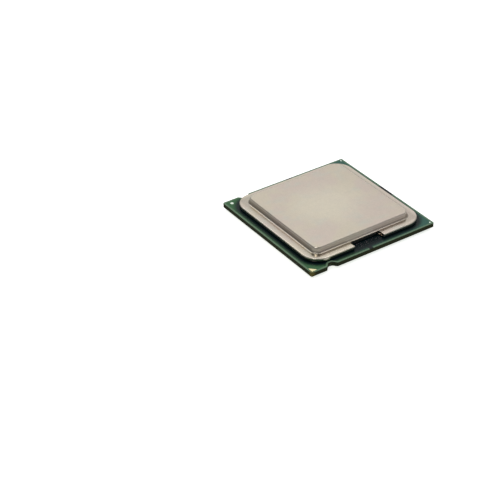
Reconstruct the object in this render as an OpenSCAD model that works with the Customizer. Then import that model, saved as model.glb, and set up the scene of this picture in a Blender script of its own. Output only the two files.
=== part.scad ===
// Land-grid processor package: a flip-chip die on a laminated substrate, closed by a metal
// heat spreader, with decoupling capacitors in the middle of the lands underneath.
// Millimetres. +Z points to the heat spreader. The origin is the centre of the footprint, at
// the level of the large capacitors' undersides, on which the loose package stands.
// The pin-one corner is the one at -X, -Y. Nothing moves, so there are no joints.

/* [Substrate] */
// Side of the square substrate
substrate_w = 37.5; // [31:0.1:46]
// Thickness of the whole laminate, mask to mask
substrate_t = 1.17; // [0.9:0.01:1.6]
// Radius of the corners
corner_r = 0.3; // [0.1:0.05:1]
// Solder mask over the copper, each side
mask_t = 0.03; // [0.02:0.005:0.05]
// Thickness of a copper layer
copper_t = 0.02; // [0.01:0.005:0.035]
// Build-up dielectric between two copper layers
buildup_t = 0.05; // [0.03:0.005:0.08]
// Bare laminate left round the copper layers
copper_setback = 0.45; // [0.2:0.05:0.8]

/* [Edge notches] */
// Radius of the round bottom of a keying notch
notch_r = 1.25; // [0.8:0.05:1.6]
// Depth of a notch from the edge
notch_depth = 1.15; // [0.8:0.05:1.3]
// Distance of the notches from the -X edge
notch_offset = 6.2; // [5:0.1:9]
// Width that the sloped mouth adds on each side
notch_flare = 0.35; // [0.1:0.05:0.6]
// Least gap between a notch and a land's opening
notch_clear = 0.4; // [0.1:0.05:0.6]

/* [Core vias] */
// Outside diameter of a plated through hole
via_d = 0.3; // [0.2:0.05:0.6]
// Plating thickness in the hole
via_plating = 0.04; // [0.02:0.01:0.07]
// Spacing of the holes
via_pitch = 3.4; // [2.5:0.1:5]
// Least distance from a hole to the substrate's edge
via_margin = 2.6; // [2.2:0.1:4]

/* [Lands] */
// Spacing of the lands along X
land_pitch_x = 1.09; // [1.05:0.01:1.4]
// Spacing of the lands along Y
land_pitch_y = 1.17; // [1.05:0.01:1.4]
// Diameter of a land
land_d = 0.84; // [0.5:0.01:0.95]
// Height by which the lands stand out of the mask
land_proud = 0.015; // [0.005:0.005:0.03]
// Gap between a land and the mask around it
land_clear = 0.03; // [0.01:0.01:0.06]
// Least distance from a land's centre to the substrate's edge
land_margin = 1.3; // [1:0.05:2]
// Clear strip between the capacitors and the lands
window_gap = 0.4; // [0.2:0.05:0.6]

/* [Large capacitors] */
// Length along Y, across the terminals
cap_w = 2.2; // [1.6:0.05:2.7]
// Depth along X, over the terminals
cap_d = 1.4; // [1:0.05:1.7]
// Height
cap_h = 0.75; // [0.5:0.05:0.9]
// Gap between neighbours along Y
cap_gap_y = 0.6; // [0.4:0.05:1]
// Gap between neighbours along X
cap_gap_x = 1.05; // [0.8:0.05:1.3]
// Distance of the capacitor field's middle from the origin, along X
field_shift = 0.925; // [0:0.025:1.2]
// Width of a terminal finger
finger_w = 0.28; // [0.15:0.01:0.35]
// Spacing of the fingers
finger_pitch = 0.52; // [0.4:0.01:0.6]
// Length of a terminal that wraps on to the top and underside
wrap = 0.28; // [0.15:0.01:0.4]
// Thickness of the terminal metal
terminal_t = 0.04; // [0.02:0.005:0.06]
// Solder between a capacitor and the mask
joint_t = 0.05; // [0.03:0.005:0.08]
// Reach of a solder fillet from its terminal
fillet_reach = 0.2; // [0.1:0.01:0.25]
// Height of a solder fillet
fillet_h = 0.35; // [0.15:0.01:0.45]

/* [Small capacitors] */
// Length of the smaller chip
small_chip_l = 1.6; // [1.3:0.05:1.8]
// Width of the smaller chip
small_chip_w = 0.85; // [0.5:0.05:0.95]
// Height of the smaller chip
small_chip_h = 0.55; // [0.4:0.01:0.65]
// Length of the larger chip
large_chip_l = 2; // [1.6:0.05:2.1]
// Width of the larger chip
large_chip_w = 1.2; // [0.8:0.05:1.25]
// Height of the larger chip
large_chip_h = 0.62; // [0.4:0.01:0.7]
// Gap between the large capacitors and the chips at their sides
side_gap = 0.95; // [0.5:0.05:1.2]
// Gap between a large capacitor's solder and the chip in front of it
front_gap = 0.05; // [0.05:0.01:0.1]
// Gap between a large capacitor's solder and the chip behind it
back_gap = 0.17; // [0.1:0.01:0.3]

/* [Die] */
// Die size along X
die_x = 13; // [9:0.5:16]
// Die size along Y
die_y = 11; // [9:0.5:16]
// Die thickness
die_t = 0.78; // [0.6:0.01:0.95]
// Gap under the die, filled by the bumps and the underfill
bump_gap = 0.08; // [0.05:0.01:0.12]
// Bump diameter
bump_d = 0.3; // [0.15:0.01:0.5]
// Bump spacing
bump_pitch = 1; // [0.8:0.05:1.5]
// Reach of the underfill past the die
underfill_reach = 0.6; // [0.3:0.05:1]
// Height to which the underfill climbs the die's sides
underfill_climb = 0.35; // [0.1:0.05:0.5]
// Thermal interface between the die and the heat spreader
tim_t = 0.15; // [0.05:0.01:0.25]
// Margin of the thermal interface inside the die's edge
tim_margin = 0.2; // [0:0.05:0.5]

/* [Heat spreader] */
// Distance of the flange from the substrate's edge
flange_setback = 1.75; // [1.3:0.05:2.5]
// Radius of the flange's corners
flange_r = 4.5; // [3:0.1:6]
// Thickness of the flange
flange_t = 0.9; // [0.6:0.05:1.1]
// Width of the flange round the raised top
flange_reach = 2.7; // [2:0.05:3.2]
// Height of the raised top above the substrate
lid_h = 2.65; // [2.2:0.05:3.3]
// Radius of the raised top's corners, in plan
plateau_r = 1.2; // [0.9:0.1:3]
// Radius of the raised top's upper edge
edge_r = 0.4; // [0.1:0.05:0.6]
// Thickness of the wall between the cavity and the outside
lid_wall = 1.55; // [1:0.05:2]
// Corner radius of the cavity
cavity_r = 3; // [1:0.1:4]
// Width of the opening in the flange at the -Y side
cutout_w = 8.8; // [5:0.1:12]
// Flange left between that opening and the raised top
cutout_web = 0.3; // [0.1:0.05:0.6]
// Thickness of the sealant under the flange
sealant_t = 0.25; // [0.1:0.01:0.3]
// Distance of the sealant from the flange's edge and from the cavity
sealant_inset = 0.45; // [0.2:0.05:0.6]
// Gap left in the sealant, past each end of the flange's opening
vent_margin = 0.5; // [0.2:0.1:1.5]

/* [Marks] */
// Leg of the pin-one triangle on the heat spreader's side
mark_leg = 1.6; // [1:0.1:2]
// Leg of the pin-one triangle underneath
mark_leg_bottom = 1.1; // [0.7:0.1:1.4]
// Diameter of the large alignment dot
dot_d = 0.9; // [0.5:0.05:1.2]
// Diameter of the small alignment dots
small_dot_d = 0.48; // [0.3:0.02:0.55]
// Distance of the large dot from the -X edge
dot_inset_x = 1.8; // [1.5:0.05:2]
// Distance of the large dot from the +Y edge
dot_inset_y = 1.45; // [1.2:0.05:1.7]
// Distance of the small dots from both edges
small_dot_inset = 0.75; // [0.7:0.05:0.9]

/* [Hidden] */
$fn = 32;
// How far a cut runs past the face it opens, and past an outer edge
EPS = 0.01;
OVER = 1;

// Levels, from the underside up
z_mask = cap_h + joint_t;
z_copper = z_mask + mask_t;
z_buildup = z_copper + copper_t;
z_inner = z_buildup + buildup_t;
z_core = z_inner + copper_t + buildup_t;
layers_t = z_core - z_mask;
core_t = substrate_t - 2 * layers_t;
z_top = z_mask + substrate_t;

// Sizes that follow
flange_w = substrate_w - 2 * flange_setback;
plateau_w = flange_w - 2 * flange_reach;
cavity_w = plateau_w - 2 * lid_wall;
ceiling_h = bump_gap + die_t + tim_t;
land_hole_d = land_d + 2 * land_clear;
vent_w = cutout_w + 2 * vent_margin;
dot_x = substrate_w / 2 - dot_inset_x;
dot_y = substrate_w / 2 - dot_inset_y;
small_dot = substrate_w / 2 - small_dot_inset;
mark_corner = substrate_w / 2 - copper_setback;

// Centre of the +Y notch's round bottom; the -Y notch mirrors it
notch_x = notch_offset - substrate_w / 2;
notch_y = substrate_w / 2 - notch_depth + notch_r;

// The large capacitors: four columns by four rows, and three more
cap_pitch_x = cap_d + cap_gap_x;
cap_pitch_y = cap_w + cap_gap_y;
function row_x(k) = field_shift + (1.5 - k) * cap_pitch_x;
function column_y(c) = (c - 1.5) * cap_pitch_y;
corner_shift = 0.7;
large_caps = concat(
    [for (k = [0 : 3], c = [0 : 3]) [row_x(k), column_y(c)]],
    [[row_x(4), column_y(1)], [row_x(4), column_y(3) + corner_shift], [row_x(-1), column_y(3)]]
);
cap_count = len(large_caps);

// The small chips: centre, turn about Z and size. Each stands by a row or a column of large
// capacitors, and the added number is its distance from the middle of that row or column.
small_chip = [small_chip_l, small_chip_w, small_chip_h];
large_chip = [large_chip_l, large_chip_w, large_chip_h];
side_y = column_y(3) + cap_w / 2 + side_gap + large_chip_w / 2;
front_x = row_x(3) - cap_d / 2 - fillet_reach - front_gap - small_chip_w / 2;
back_x = row_x(0) + cap_d / 2 + fillet_reach + back_gap + large_chip_w / 2;
chips = [
    [front_x, column_y(0) + 0.35, 90, small_chip],
    [front_x, column_y(2) + 0.85, 90, small_chip],
    [back_x + 0.2, column_y(1) - 0.95, 90, large_chip],
    [back_x + 0.5, column_y(2) + 0.35, 90, small_chip],
    [row_x(0) + 0.3, side_y, 0, large_chip],
    [row_x(0) - 0.2 - (large_chip_l + small_chip_l) / 2, side_y, 0, small_chip],
    [row_x(2) - 0.85, side_y, 0, large_chip]
];

// Tinned pads of two sites left empty, in line with the front row: centre and size
spare_x = row_x(4);
spare_pads = [
    [spare_x + 0.05, column_y(0) - 1.25, 1.2, 0.7],
    [spare_x - 0.3, column_y(0) + 0.8, 0.55, 0.85],
    [spare_x, column_y(2) - 0.55, 1.1, 0.75],
    [spare_x - 0.3, column_y(2) + 1.25, 0.55, 0.85]
];

// How far the capacitor field reaches, and the window without lands around it
field_x = row_x(-1) + cap_d / 2;
field_y = side_y + large_chip_w / 2;
window_x = field_x + window_gap + land_d / 2;
window_y = field_y + window_gap + land_d / 2;

// The lands: centred rows, without the window, the pin-one place and those by the notches
rows_n = 1 + floor((substrate_w - 2 * land_margin) / land_pitch_x);
columns_n = 1 + floor((substrate_w - 2 * land_margin) / land_pitch_y);
function land_x(j) = (j - (rows_n - 1) / 2) * land_pitch_x;
function land_y(i) = (i - (columns_n - 1) / 2) * land_pitch_y;
function in_window(x, y) = abs(x) < window_x && abs(y) < window_y;
function by_notch(x, y) =
    norm([x - notch_x, abs(y) - notch_y]) < notch_r + land_hole_d / 2 + notch_clear;
land_places = [
    for (i = [0 : columns_n - 1], j = [0 : rows_n - 1])
        if (i + j > 0 && !in_window(land_x(j), land_y(i)) && !by_notch(land_x(j), land_y(i)))
            [land_x(j), land_y(i)]
];

// Test pads in a line at each end of the window: centre and diameter
front_pads_x = 0.5 - field_x;
back_pads_x = field_x;
test_pads = [
    [front_pads_x, column_y(0) + 0.45, 0.6],
    [front_pads_x, column_y(0) + 1.4, 0.5],
    [front_pads_x, column_y(1) + 1.85, 0.42],
    [front_pads_x, column_y(2) - 0.15, 0.42],
    [front_pads_x, column_y(3) - 0.35, 0.6],
    [back_pads_x, column_y(2) - 1.1, 0.6],
    [back_pads_x, column_y(2) + 0.35, 0.6]
];

// Alignment dots in two opposite corners of the window
bottom_dots = [[field_x - 0.9, 0.6 - field_y], [1 - field_x, field_y - 0.5]];

// Bumps, spread over the die's underside
bumps_x = 1 + floor((die_x - bump_pitch) / bump_pitch);
bumps_y = 1 + floor((die_y - bump_pitch) / bump_pitch);

// Plated through holes of the core
vias_n = 1 + floor((substrate_w - 2 * via_margin) / via_pitch);

capacitor_names = [for (k = [1 : cap_count]) str("capacitor_body_", k)];

// ---- Shared shapes ----

// Rectangle with round corners, centred
module rounded_rect(w, h, r) {
    square([w, h - 2 * r], center = true);
    square([w - 2 * r, h], center = true);
    for (x = [-1, 1], y = [-1, 1])
        translate([x * (w / 2 - r), y * (h / 2 - r)]) circle(r);
}

// A box centred in X and Y that stands on its base
module block(x, y, z) {
    translate([-x / 2, -y / 2, 0]) cube([x, y, z]);
}

// A keying notch in the lower edge of a square of side w: round bottom, sloped mouth
module notch_shape(w) {
    mouth = notch_r + notch_flare;
    waist = 0.8 * notch_r;
    translate([notch_x, -w / 2 + notch_depth - notch_r]) circle(notch_r);
    translate([notch_x, -w / 2])
        polygon([[-mouth, -OVER], [mouth, -OVER], [mouth, 0], [waist, notch_depth / 2],
                 [-waist, notch_depth / 2], [-mouth, 0]]);
}

// Outline of a layer; setback is its distance inside the substrate's edge
module outline(setback) {
    w = substrate_w - 2 * setback;
    difference() {
        rounded_rect(w, w, corner_r);
        for (side = [0, 1]) mirror([0, side]) notch_shape(w);
    }
}

module sheet(z, t, setback = 0) {
    translate([0, 0, z]) linear_extrude(t) outline(setback);
}

// A dielectric or mask sheet with a pocket that takes a copper layer.
// pocket_z is the level of the copper's underside.
module pocketed_sheet(z, t, pocket_z) {
    difference() {
        sheet(z, t);
        sheet(pocket_z, copper_t, copper_setback);
    }
}

module in_grid(nx, ny, pitch) {
    for (i = [0 : nx - 1], j = [0 : ny - 1])
        translate([(i - (nx - 1) / 2) * pitch, (j - (ny - 1) / 2) * pitch]) children();
}

// Right triangle with its square corner near the pin-one corner
module pin_one_shape(leg) {
    translate([-mark_corner, -mark_corner]) polygon([[0, 0], [leg, 0], [0, leg]]);
}

module top_dots() {
    translate([-dot_x, dot_y]) circle(d = dot_d);
    for (y = [-1, 1]) translate([small_dot, y * small_dot]) circle(d = small_dot_d);
}

module test_pad_shapes() {
    for (p = test_pads) translate([p[0], p[1]]) circle(d = p[2]);
}

module bottom_dot_shapes() {
    for (p = bottom_dots) translate(p) circle(d = small_dot_d);
}

// ---- Heat spreader and what it covers ----

// Upright profile of width w with its two upper corners rounded to e
module crowned_profile(w, h, e) {
    translate([-w / 2, 0]) square([w, h - e]);
    translate([-w / 2 + e, 0]) square([w - 2 * e, h]);
    for (x = [-1, 1]) translate([x * (w / 2 - e), h - e]) circle(e);
}

// Slab with round corners in plan and a rounded upper edge
module soft_slab(w, h, r, e) {
    intersection() {
        linear_extrude(h) rounded_rect(w, w, r);
        rotate([90, 0, 0]) linear_extrude(w, center = true) crowned_profile(w, h, e);
        rotate([90, 0, 90]) linear_extrude(w, center = true) crowned_profile(w, h, e);
    }
}

module heat_spreader() {
    color([0.78, 0.75, 0.70])
    translate([0, 0, z_top]) difference() {
        union() {
            translate([0, 0, sealant_t]) linear_extrude(flange_t)
                rounded_rect(flange_w, flange_w, flange_r);
            translate([0, 0, sealant_t])
                soft_slab(plateau_w, lid_h - sealant_t, plateau_r, edge_r);
        }
        translate([0, 0, sealant_t - EPS]) linear_extrude(ceiling_h - sealant_t + EPS)
            rounded_rect(cavity_w, cavity_w, cavity_r);
        translate([-cutout_w / 2, -flange_w / 2 - OVER, 0])
            cube([cutout_w, OVER + flange_reach - cutout_web, sealant_t + flange_t + EPS]);
    }
}

module lid_sealant() {
    outer_w = flange_w - 2 * sealant_inset;
    inner_w = cavity_w + 2 * sealant_inset;
    color([0.16, 0.16, 0.17])
    translate([0, 0, z_top]) difference() {
        linear_extrude(sealant_t)
            rounded_rect(outer_w, outer_w, flange_r - sealant_inset);
        translate([0, 0, -EPS]) linear_extrude(sealant_t + 2 * EPS)
            rounded_rect(inner_w, inner_w, cavity_r + sealant_inset);
        translate([-vent_w / 2, -flange_w, -EPS])
            cube([vent_w, flange_w, sealant_t + 2 * EPS]);
    }
}

module thermal_interface() {
    color([0.62, 0.62, 0.64])
    translate([0, 0, z_top + bump_gap + die_t])
        block(die_x - 2 * tim_margin, die_y - 2 * tim_margin, tim_t);
}

module silicon_die() {
    color([0.33, 0.34, 0.38])
    translate([0, 0, z_top + bump_gap]) block(die_x, die_y, die_t);
}

module die_underfill() {
    color([0.55, 0.42, 0.20])
    translate([0, 0, z_top]) difference() {
        block(die_x + 2 * underfill_reach, die_y + 2 * underfill_reach,
              bump_gap + underfill_climb);
        translate([0, 0, bump_gap]) block(die_x, die_y, die_t);
        translate([0, 0, -EPS])
            in_grid(bumps_x, bumps_y, bump_pitch) cylinder(d = bump_d, h = bump_gap + 2 * EPS);
    }
}

module die_bumps() {
    color([0.75, 0.74, 0.70])
    translate([0, 0, z_top - mask_t])
        in_grid(bumps_x, bumps_y, bump_pitch) cylinder(d = bump_d, h = bump_gap + mask_t);
}

// ---- Substrate, from the top down ----

module solder_mask_top() {
    color([0.20, 0.38, 0.31])
    difference() {
        pocketed_sheet(z_top - mask_t - copper_t, mask_t + copper_t, z_top - mask_t - copper_t);
        translate([0, 0, z_top - mask_t - EPS]) linear_extrude(mask_t + 2 * EPS) {
            pin_one_shape(mark_leg);
            top_dots();
            in_grid(bumps_x, bumps_y, bump_pitch) circle(d = bump_d);
        }
    }
}

module copper_top() {
    color([0.72, 0.45, 0.30])
    sheet(z_top - mask_t - copper_t, copper_t, copper_setback);
}

module dielectric_top() {
    bottom = z_top - mask_t - 2 * copper_t - buildup_t;
    color([0.30, 0.30, 0.15])
    pocketed_sheet(bottom, buildup_t + copper_t, bottom);
}

module inner_copper_top() {
    color([0.72, 0.45, 0.30])
    sheet(z_top - mask_t - 2 * copper_t - buildup_t, copper_t, copper_setback);
}

module inner_dielectric_top() {
    color([0.36, 0.33, 0.17])
    sheet(z_core + core_t, buildup_t);
}

module core_laminate() {
    color([0.40, 0.30, 0.18])
    difference() {
        sheet(z_core, core_t);
        translate([0, 0, z_core - EPS])
            in_grid(vias_n, vias_n, via_pitch) cylinder(d = via_d, h = core_t + 2 * EPS);
    }
}

module core_vias() {
    color([0.72, 0.45, 0.30])
    translate([0, 0, z_core]) in_grid(vias_n, vias_n, via_pitch) difference() {
        cylinder(d = via_d, h = core_t);
        translate([0, 0, -EPS]) cylinder(d = via_d - 2 * via_plating, h = core_t + 2 * EPS);
    }
}

module via_plugs() {
    color([0.55, 0.52, 0.45])
    translate([0, 0, z_core])
        in_grid(vias_n, vias_n, via_pitch) cylinder(d = via_d - 2 * via_plating, h = core_t);
}

module inner_dielectric_bottom() {
    color([0.36, 0.33, 0.17])
    sheet(z_core - buildup_t, buildup_t);
}

module inner_copper_bottom() {
    color([0.72, 0.45, 0.30])
    sheet(z_inner, copper_t, copper_setback);
}

module dielectric_bottom() {
    color([0.30, 0.30, 0.15])
    pocketed_sheet(z_buildup, buildup_t + copper_t, z_inner);
}

module copper_bottom() {
    color([0.72, 0.45, 0.30])
    sheet(z_copper, copper_t, copper_setback);
}

module solder_mask_bottom() {
    color([0.30, 0.42, 0.37])
    difference() {
        pocketed_sheet(z_mask, mask_t + copper_t, z_copper);
        translate([0, 0, z_mask - EPS]) linear_extrude(mask_t + 2 * EPS) {
            for (p = land_places) translate(p) circle(d = land_hole_d);
            pin_one_shape(mark_leg_bottom);
            test_pad_shapes();
            bottom_dot_shapes();
        }
    }
}

// ---- Contacts and marks ----

module land_contacts() {
    color([0.93, 0.89, 0.68])
    translate([0, 0, z_mask - land_proud])
        for (p = land_places) translate(p) cylinder(d = land_d, h = land_proud + mask_t);
}

module pin_one_mark_top() {
    color([0.85, 0.78, 0.45])
    translate([0, 0, z_top - mask_t]) linear_extrude(mask_t) pin_one_shape(mark_leg);
}

module pin_one_mark_bottom() {
    color([0.85, 0.78, 0.45])
    translate([0, 0, z_mask]) linear_extrude(mask_t) pin_one_shape(mark_leg_bottom);
}

module alignment_dots_top() {
    color([0.90, 0.92, 0.88])
    translate([0, 0, z_top - mask_t]) linear_extrude(mask_t) top_dots();
}

module alignment_dots_bottom() {
    color([0.85, 0.90, 0.82])
    translate([0, 0, z_mask]) linear_extrude(mask_t) bottom_dot_shapes();
}

module test_pads() {
    color([0.93, 0.89, 0.68])
    translate([0, 0, z_mask]) linear_extrude(mask_t) test_pad_shapes();
}

module spare_site_pads() {
    color([0.90, 0.90, 0.88])
    for (p = spare_pads)
        translate([p[0], p[1], z_mask - joint_t]) block(p[2], p[3], joint_t);
}

// ---- Capacitors ----

// Places of the eight fingers of a large capacitor: side and offset along Y
module at_fingers() {
    for (side = [0, 180], k = [0 : 3])
        rotate(side) translate([0, (k - 1.5) * finger_pitch, 0]) children();
}

// Outer block of one finger, at the +X end
module finger_block() {
    translate([cap_d / 2 - wrap, -finger_w / 2, 0]) cube([wrap, finger_w, cap_h]);
}

// The ceramic, with shallow seats for the fingers
module capacitor_body(k) {
    inner_d = cap_d - 2 * terminal_t;
    color([0.42, 0.38, 0.34])
    translate(large_caps[k - 1]) difference() {
        block(inner_d, cap_w, cap_h);
        at_fingers() {
            translate([0, 0, -cap_h + terminal_t]) finger_block();
            translate([0, 0, cap_h - terminal_t]) finger_block();
        }
    }
}

// Each finger covers an end of the ceramic and wraps on to its top and underside
module capacitor_terminals() {
    color([0.80, 0.78, 0.75])
    for (p = large_caps) translate(p) at_fingers() difference() {
        finger_block();
        translate([cap_d / 2 - wrap - EPS, -finger_w, terminal_t])
            cube([wrap - terminal_t + EPS, 2 * finger_w, cap_h - 2 * terminal_t]);
    }
}

// A joint under a terminal of width w whose outer face is at X = end, with its fillet.
// base is the level of the terminal's upper end.
module solder_joint(end, length, w, base) {
    translate([end - length, -w / 2, base]) cube([length + fillet_reach, w, joint_t]);
    translate([end, w / 2, base]) rotate([90, 0, 0]) linear_extrude(w)
        polygon([[0, 0], [fillet_reach, 0], [0, -fillet_h]]);
}

module capacitor_solder() {
    color([0.86, 0.86, 0.84])
    for (p = large_caps) translate(p)
        at_fingers() solder_joint(cap_d / 2, wrap, finger_w, cap_h);
}

module at_chip(c) {
    translate([c[0], c[1], z_mask - joint_t - c[3][2]]) rotate(c[2]) children();
}

// Ceramic of a chip: full section in the middle, reduced inside the terminals
module chip_core(s) {
    translate([0, 0, terminal_t])
        block(s[0] - 2 * terminal_t, s[1] - 2 * terminal_t, s[2] - 2 * terminal_t);
}

module chip_bodies() {
    color([0.45, 0.38, 0.33])
    for (c = chips) at_chip(c) {
        block(c[3][0] - 2 * wrap, c[3][1], c[3][2]);
        chip_core(c[3]);
    }
}

module chip_terminals() {
    color([0.88, 0.87, 0.84])
    for (c = chips, side = [0, 180]) at_chip(c) rotate(side) difference() {
        translate([c[3][0] / 2 - wrap, -c[3][1] / 2, 0]) cube([wrap, c[3][1], c[3][2]]);
        chip_core(c[3]);
    }
}

module chip_solder() {
    color([0.86, 0.86, 0.84])
    for (c = chips, side = [0, 180]) at_chip(c) rotate(side)
        solder_joint(c[3][0] / 2, wrap, c[3][1], c[3][2]);
}

// ---- Nodes ----

heat_spreader();
lid_sealant();
thermal_interface();
silicon_die();
die_underfill();
die_bumps();
solder_mask_top();
copper_top();
dielectric_top();
inner_copper_top();
inner_dielectric_top();
core_laminate();
core_vias();
via_plugs();
inner_dielectric_bottom();
inner_copper_bottom();
dielectric_bottom();
copper_bottom();
solder_mask_bottom();
land_contacts();
pin_one_mark_top();
pin_one_mark_bottom();
alignment_dots_top();
alignment_dots_bottom();
test_pads();
spare_site_pads();
capacitor_terminals();
chip_bodies();
chip_terminals();
capacitor_solder();
chip_solder();
for (k = [1 : cap_count])
    capacitor_body(k);
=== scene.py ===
"""Looks of a land-grid processor package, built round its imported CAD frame.

Lengths in the classes are millimetres in the part's own frame: +Z points to the heat
spreader, the origin lies under the middle of the footprint, and the pin-one corner is at
-X, -Y. Meshes are written in metres.
"""

from __future__ import annotations

import logging
import math
from dataclasses import dataclass
from enum import Enum
from functools import cache, cached_property
from typing import Any, Callable, Sequence, Union

import bpy
import numpy as np
from mathutils import Matrix, Vector

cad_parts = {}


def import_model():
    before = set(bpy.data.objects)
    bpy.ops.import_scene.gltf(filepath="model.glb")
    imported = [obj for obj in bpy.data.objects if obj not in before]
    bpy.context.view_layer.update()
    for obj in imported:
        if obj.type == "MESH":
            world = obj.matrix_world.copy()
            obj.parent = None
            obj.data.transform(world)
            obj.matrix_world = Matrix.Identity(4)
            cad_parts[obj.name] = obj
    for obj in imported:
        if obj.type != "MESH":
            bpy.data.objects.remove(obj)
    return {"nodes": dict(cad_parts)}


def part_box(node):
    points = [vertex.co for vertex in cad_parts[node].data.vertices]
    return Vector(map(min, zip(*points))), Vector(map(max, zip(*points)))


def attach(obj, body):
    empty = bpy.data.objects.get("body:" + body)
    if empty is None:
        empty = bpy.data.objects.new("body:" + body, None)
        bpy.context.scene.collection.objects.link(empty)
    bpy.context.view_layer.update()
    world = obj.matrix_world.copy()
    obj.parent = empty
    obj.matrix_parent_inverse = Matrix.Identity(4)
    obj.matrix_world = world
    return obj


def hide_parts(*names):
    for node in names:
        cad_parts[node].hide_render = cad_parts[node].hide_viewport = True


LOG = logging.getLogger("processor")
MM = 0.001
TAU = 2 * math.pi
QUARTER = TAU / 4
BODY = "root"
HALF_SIDE = 18.75  # half the substrate's side
LEAST_R = 0.002  # the smallest radius that a rounded corner keeps
Colour = tuple[float, float, float]
Size = Union[float, np.ndarray]


# ---------------------------------------------------------------- shader graph


def operator(operation: str, turned: bool = False) -> Callable[["Value", "Operand"], "Value"]:
    """Makes a method that adds one Math node.

    Args:
        operation: The Math node's operation.
        turned: Whether the other operand comes first.

    Returns:
        A method of a value and another operand that gives the node's result.
    """

    def method(value: "Value", other: "Operand") -> "Value":
        """The operation on both."""
        return value.graph.math(operation, *((other, value) if turned else (value, other)))

    return method


@dataclass(frozen=True)
class Value:
    """A shader socket on which Python's operators add Math nodes."""

    graph: "Graph"
    socket: bpy.types.NodeSocket | None

    __add__ = __radd__ = operator("ADD")
    __sub__ = operator("SUBTRACT")
    __rsub__ = operator("SUBTRACT", turned=True)
    __mul__ = __rmul__ = operator("MULTIPLY")
    __truediv__ = operator("DIVIDE")
    __gt__ = operator("GREATER_THAN")
    __lt__ = operator("LESS_THAN")
    most = operator("MAXIMUM")
    least = operator("MINIMUM")

    def __abs__(self) -> "Value":
        """The size of self without its sign."""
        return self.graph.math("ABSOLUTE", self)

    def hypot(self, other: "Value") -> "Value":
        """Length of the flat vector (self, other)."""
        return self.graph.math("SQRT", self * self + other * other)

    def step(self, start: float, end: float) -> "Value":
        """A soft step of self: 0 before start, 1 past end; start may be the larger.

        Args:
            start: Where the step leaves 0.
            end: Where it reaches 1.

        Returns:
            The step, from 0 to 1.
        """
        settings = {"interpolation_type": "SMOOTHSTEP"}
        low, high = min(start, end), max(start, end)
        rise = self.graph.node("ShaderNodeMapRange", settings, {0: self, 1: low, 2: high})
        return rise if start < end else 1 - rise


Operand = Union[Value, float, Sequence[float]]


class Graph:
    """The node tree of one material: any node, and the few that finishes share."""

    def __init__(self, tree: bpy.types.NodeTree) -> None:
        """Empties the tree, which is a material's or the world's."""
        tree.nodes.clear()
        self.tree = tree

    def node(
        self,
        kind: str,
        settings: dict[str, Any] | None = None,
        inputs: dict[str | int, Operand] | None = None,
        output: str | int = 0,
    ) -> Value:
        """Adds any node.

        Args:
            kind: The node's type.
            settings: Its properties, set first.
            inputs: Values or links of its sockets, by name or by number.
            output: The output that is returned.

        Returns:
            That output, or a value without a socket if the node ends the tree.
        """
        made = self.tree.nodes.new(kind)
        for key, value in (settings or {}).items():
            setattr(made, key, value)
        for key, value in (inputs or {}).items():
            socket = made.inputs[key]
            if isinstance(value, Value):
                self.tree.links.new(value.socket, socket)
            elif socket.type == "RGBA":
                socket.default_value = (*value, 1.0)
            else:
                socket.default_value = value
        return Value(self, made.outputs[output] if made.outputs else None)

    def math(self, operation: str, *operands: Operand) -> Value:
        """A Math node's result on its operands."""
        return self.node("ShaderNodeMath", {"operation": operation}, dict(enumerate(operands)))

    def scale(self, vector: Value, factor: Operand) -> Value:
        """A vector or a colour times a number."""
        return self.node("ShaderNodeVectorMath", {"operation": "SCALE"}, {0: vector, "Scale": factor})

    def split(self, vector: Value) -> tuple[Value, ...]:
        """The three parts of a vector."""
        parts = self.node("ShaderNodeSeparateXYZ", None, {0: vector}).socket.node.outputs
        return tuple(Value(self, part) for part in parts)

    @cached_property
    def place(self) -> Value:
        """The point on the object, in millimetres."""
        return self.scale(self.node("ShaderNodeTexCoord", output="Object"), 1 / MM)

    @cached_property
    def xyz(self) -> tuple[Value, ...]:
        """The point's three coordinates, in millimetres."""
        return self.split(self.place)

    def stretched(self, x: float, y: float, z: float) -> Value:
        """The point with each coordinate multiplied, which draws a pattern out along an axis."""
        settings = {"operation": "MULTIPLY"}
        return self.node("ShaderNodeVectorMath", settings, {0: self.place, 1: (x, y, z)})

    def noise(self, grain: float, detail: float = 3.0, where: Value | None = None) -> Value:
        """Soft noise from 0 to 1.

        Args:
            grain: Size of its features, in millimetres.
            detail: Number of finer layers.
            where: The point that it reads, the object's own by default.

        Returns:
            The noise.
        """
        inputs = {"Vector": where or self.place, "Scale": 1 / grain, "Detail": detail}
        return self.node("ShaderNodeTexNoise", None, inputs, "Fac")

    def cells(self, size: float, where: Value | None = None) -> Value:
        """Distance to the nearest of many scattered points, as a share of their spacing.

        Args:
            size: Mean spacing of the points, in millimetres.
            where: The point that it reads, the object's own by default.

        Returns:
            The distance.
        """
        inputs = {"Vector": where or self.place, "Scale": 1 / size}
        return self.node("ShaderNodeTexVoronoi", None, inputs, "Distance")

    def mix(self, share: Operand, first: Operand, second: Operand) -> Value:
        """A colour between two, where share 0 is the first."""
        settings = {"data_type": "RGBA"}
        return self.node("ShaderNodeMix", settings, {0: share, 6: first, 7: second}, 2)

    def bump(self, height: Value, depth: float) -> Value:
        """The normal bent by a height from 0 to 1 that stands for depth millimetres."""
        inputs = {"Height": height, "Distance": depth * MM, "Strength": 1.0}
        return self.node("ShaderNodeBump", None, inputs)

    def surface(self, **inputs: Operand) -> None:
        """Ends the tree in a Principled shader.

        Args:
            **inputs: Values or links of its sockets; a keyword's _ stands for a space.
        """
        sockets = {key.replace("_", " "): value for key, value in inputs.items()}
        shader = self.node("ShaderNodeBsdfPrincipled", None, sockets)
        self.node("ShaderNodeOutputMaterial", None, {0: shader})


# ---------------------------------------------------------------- finishes


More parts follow.
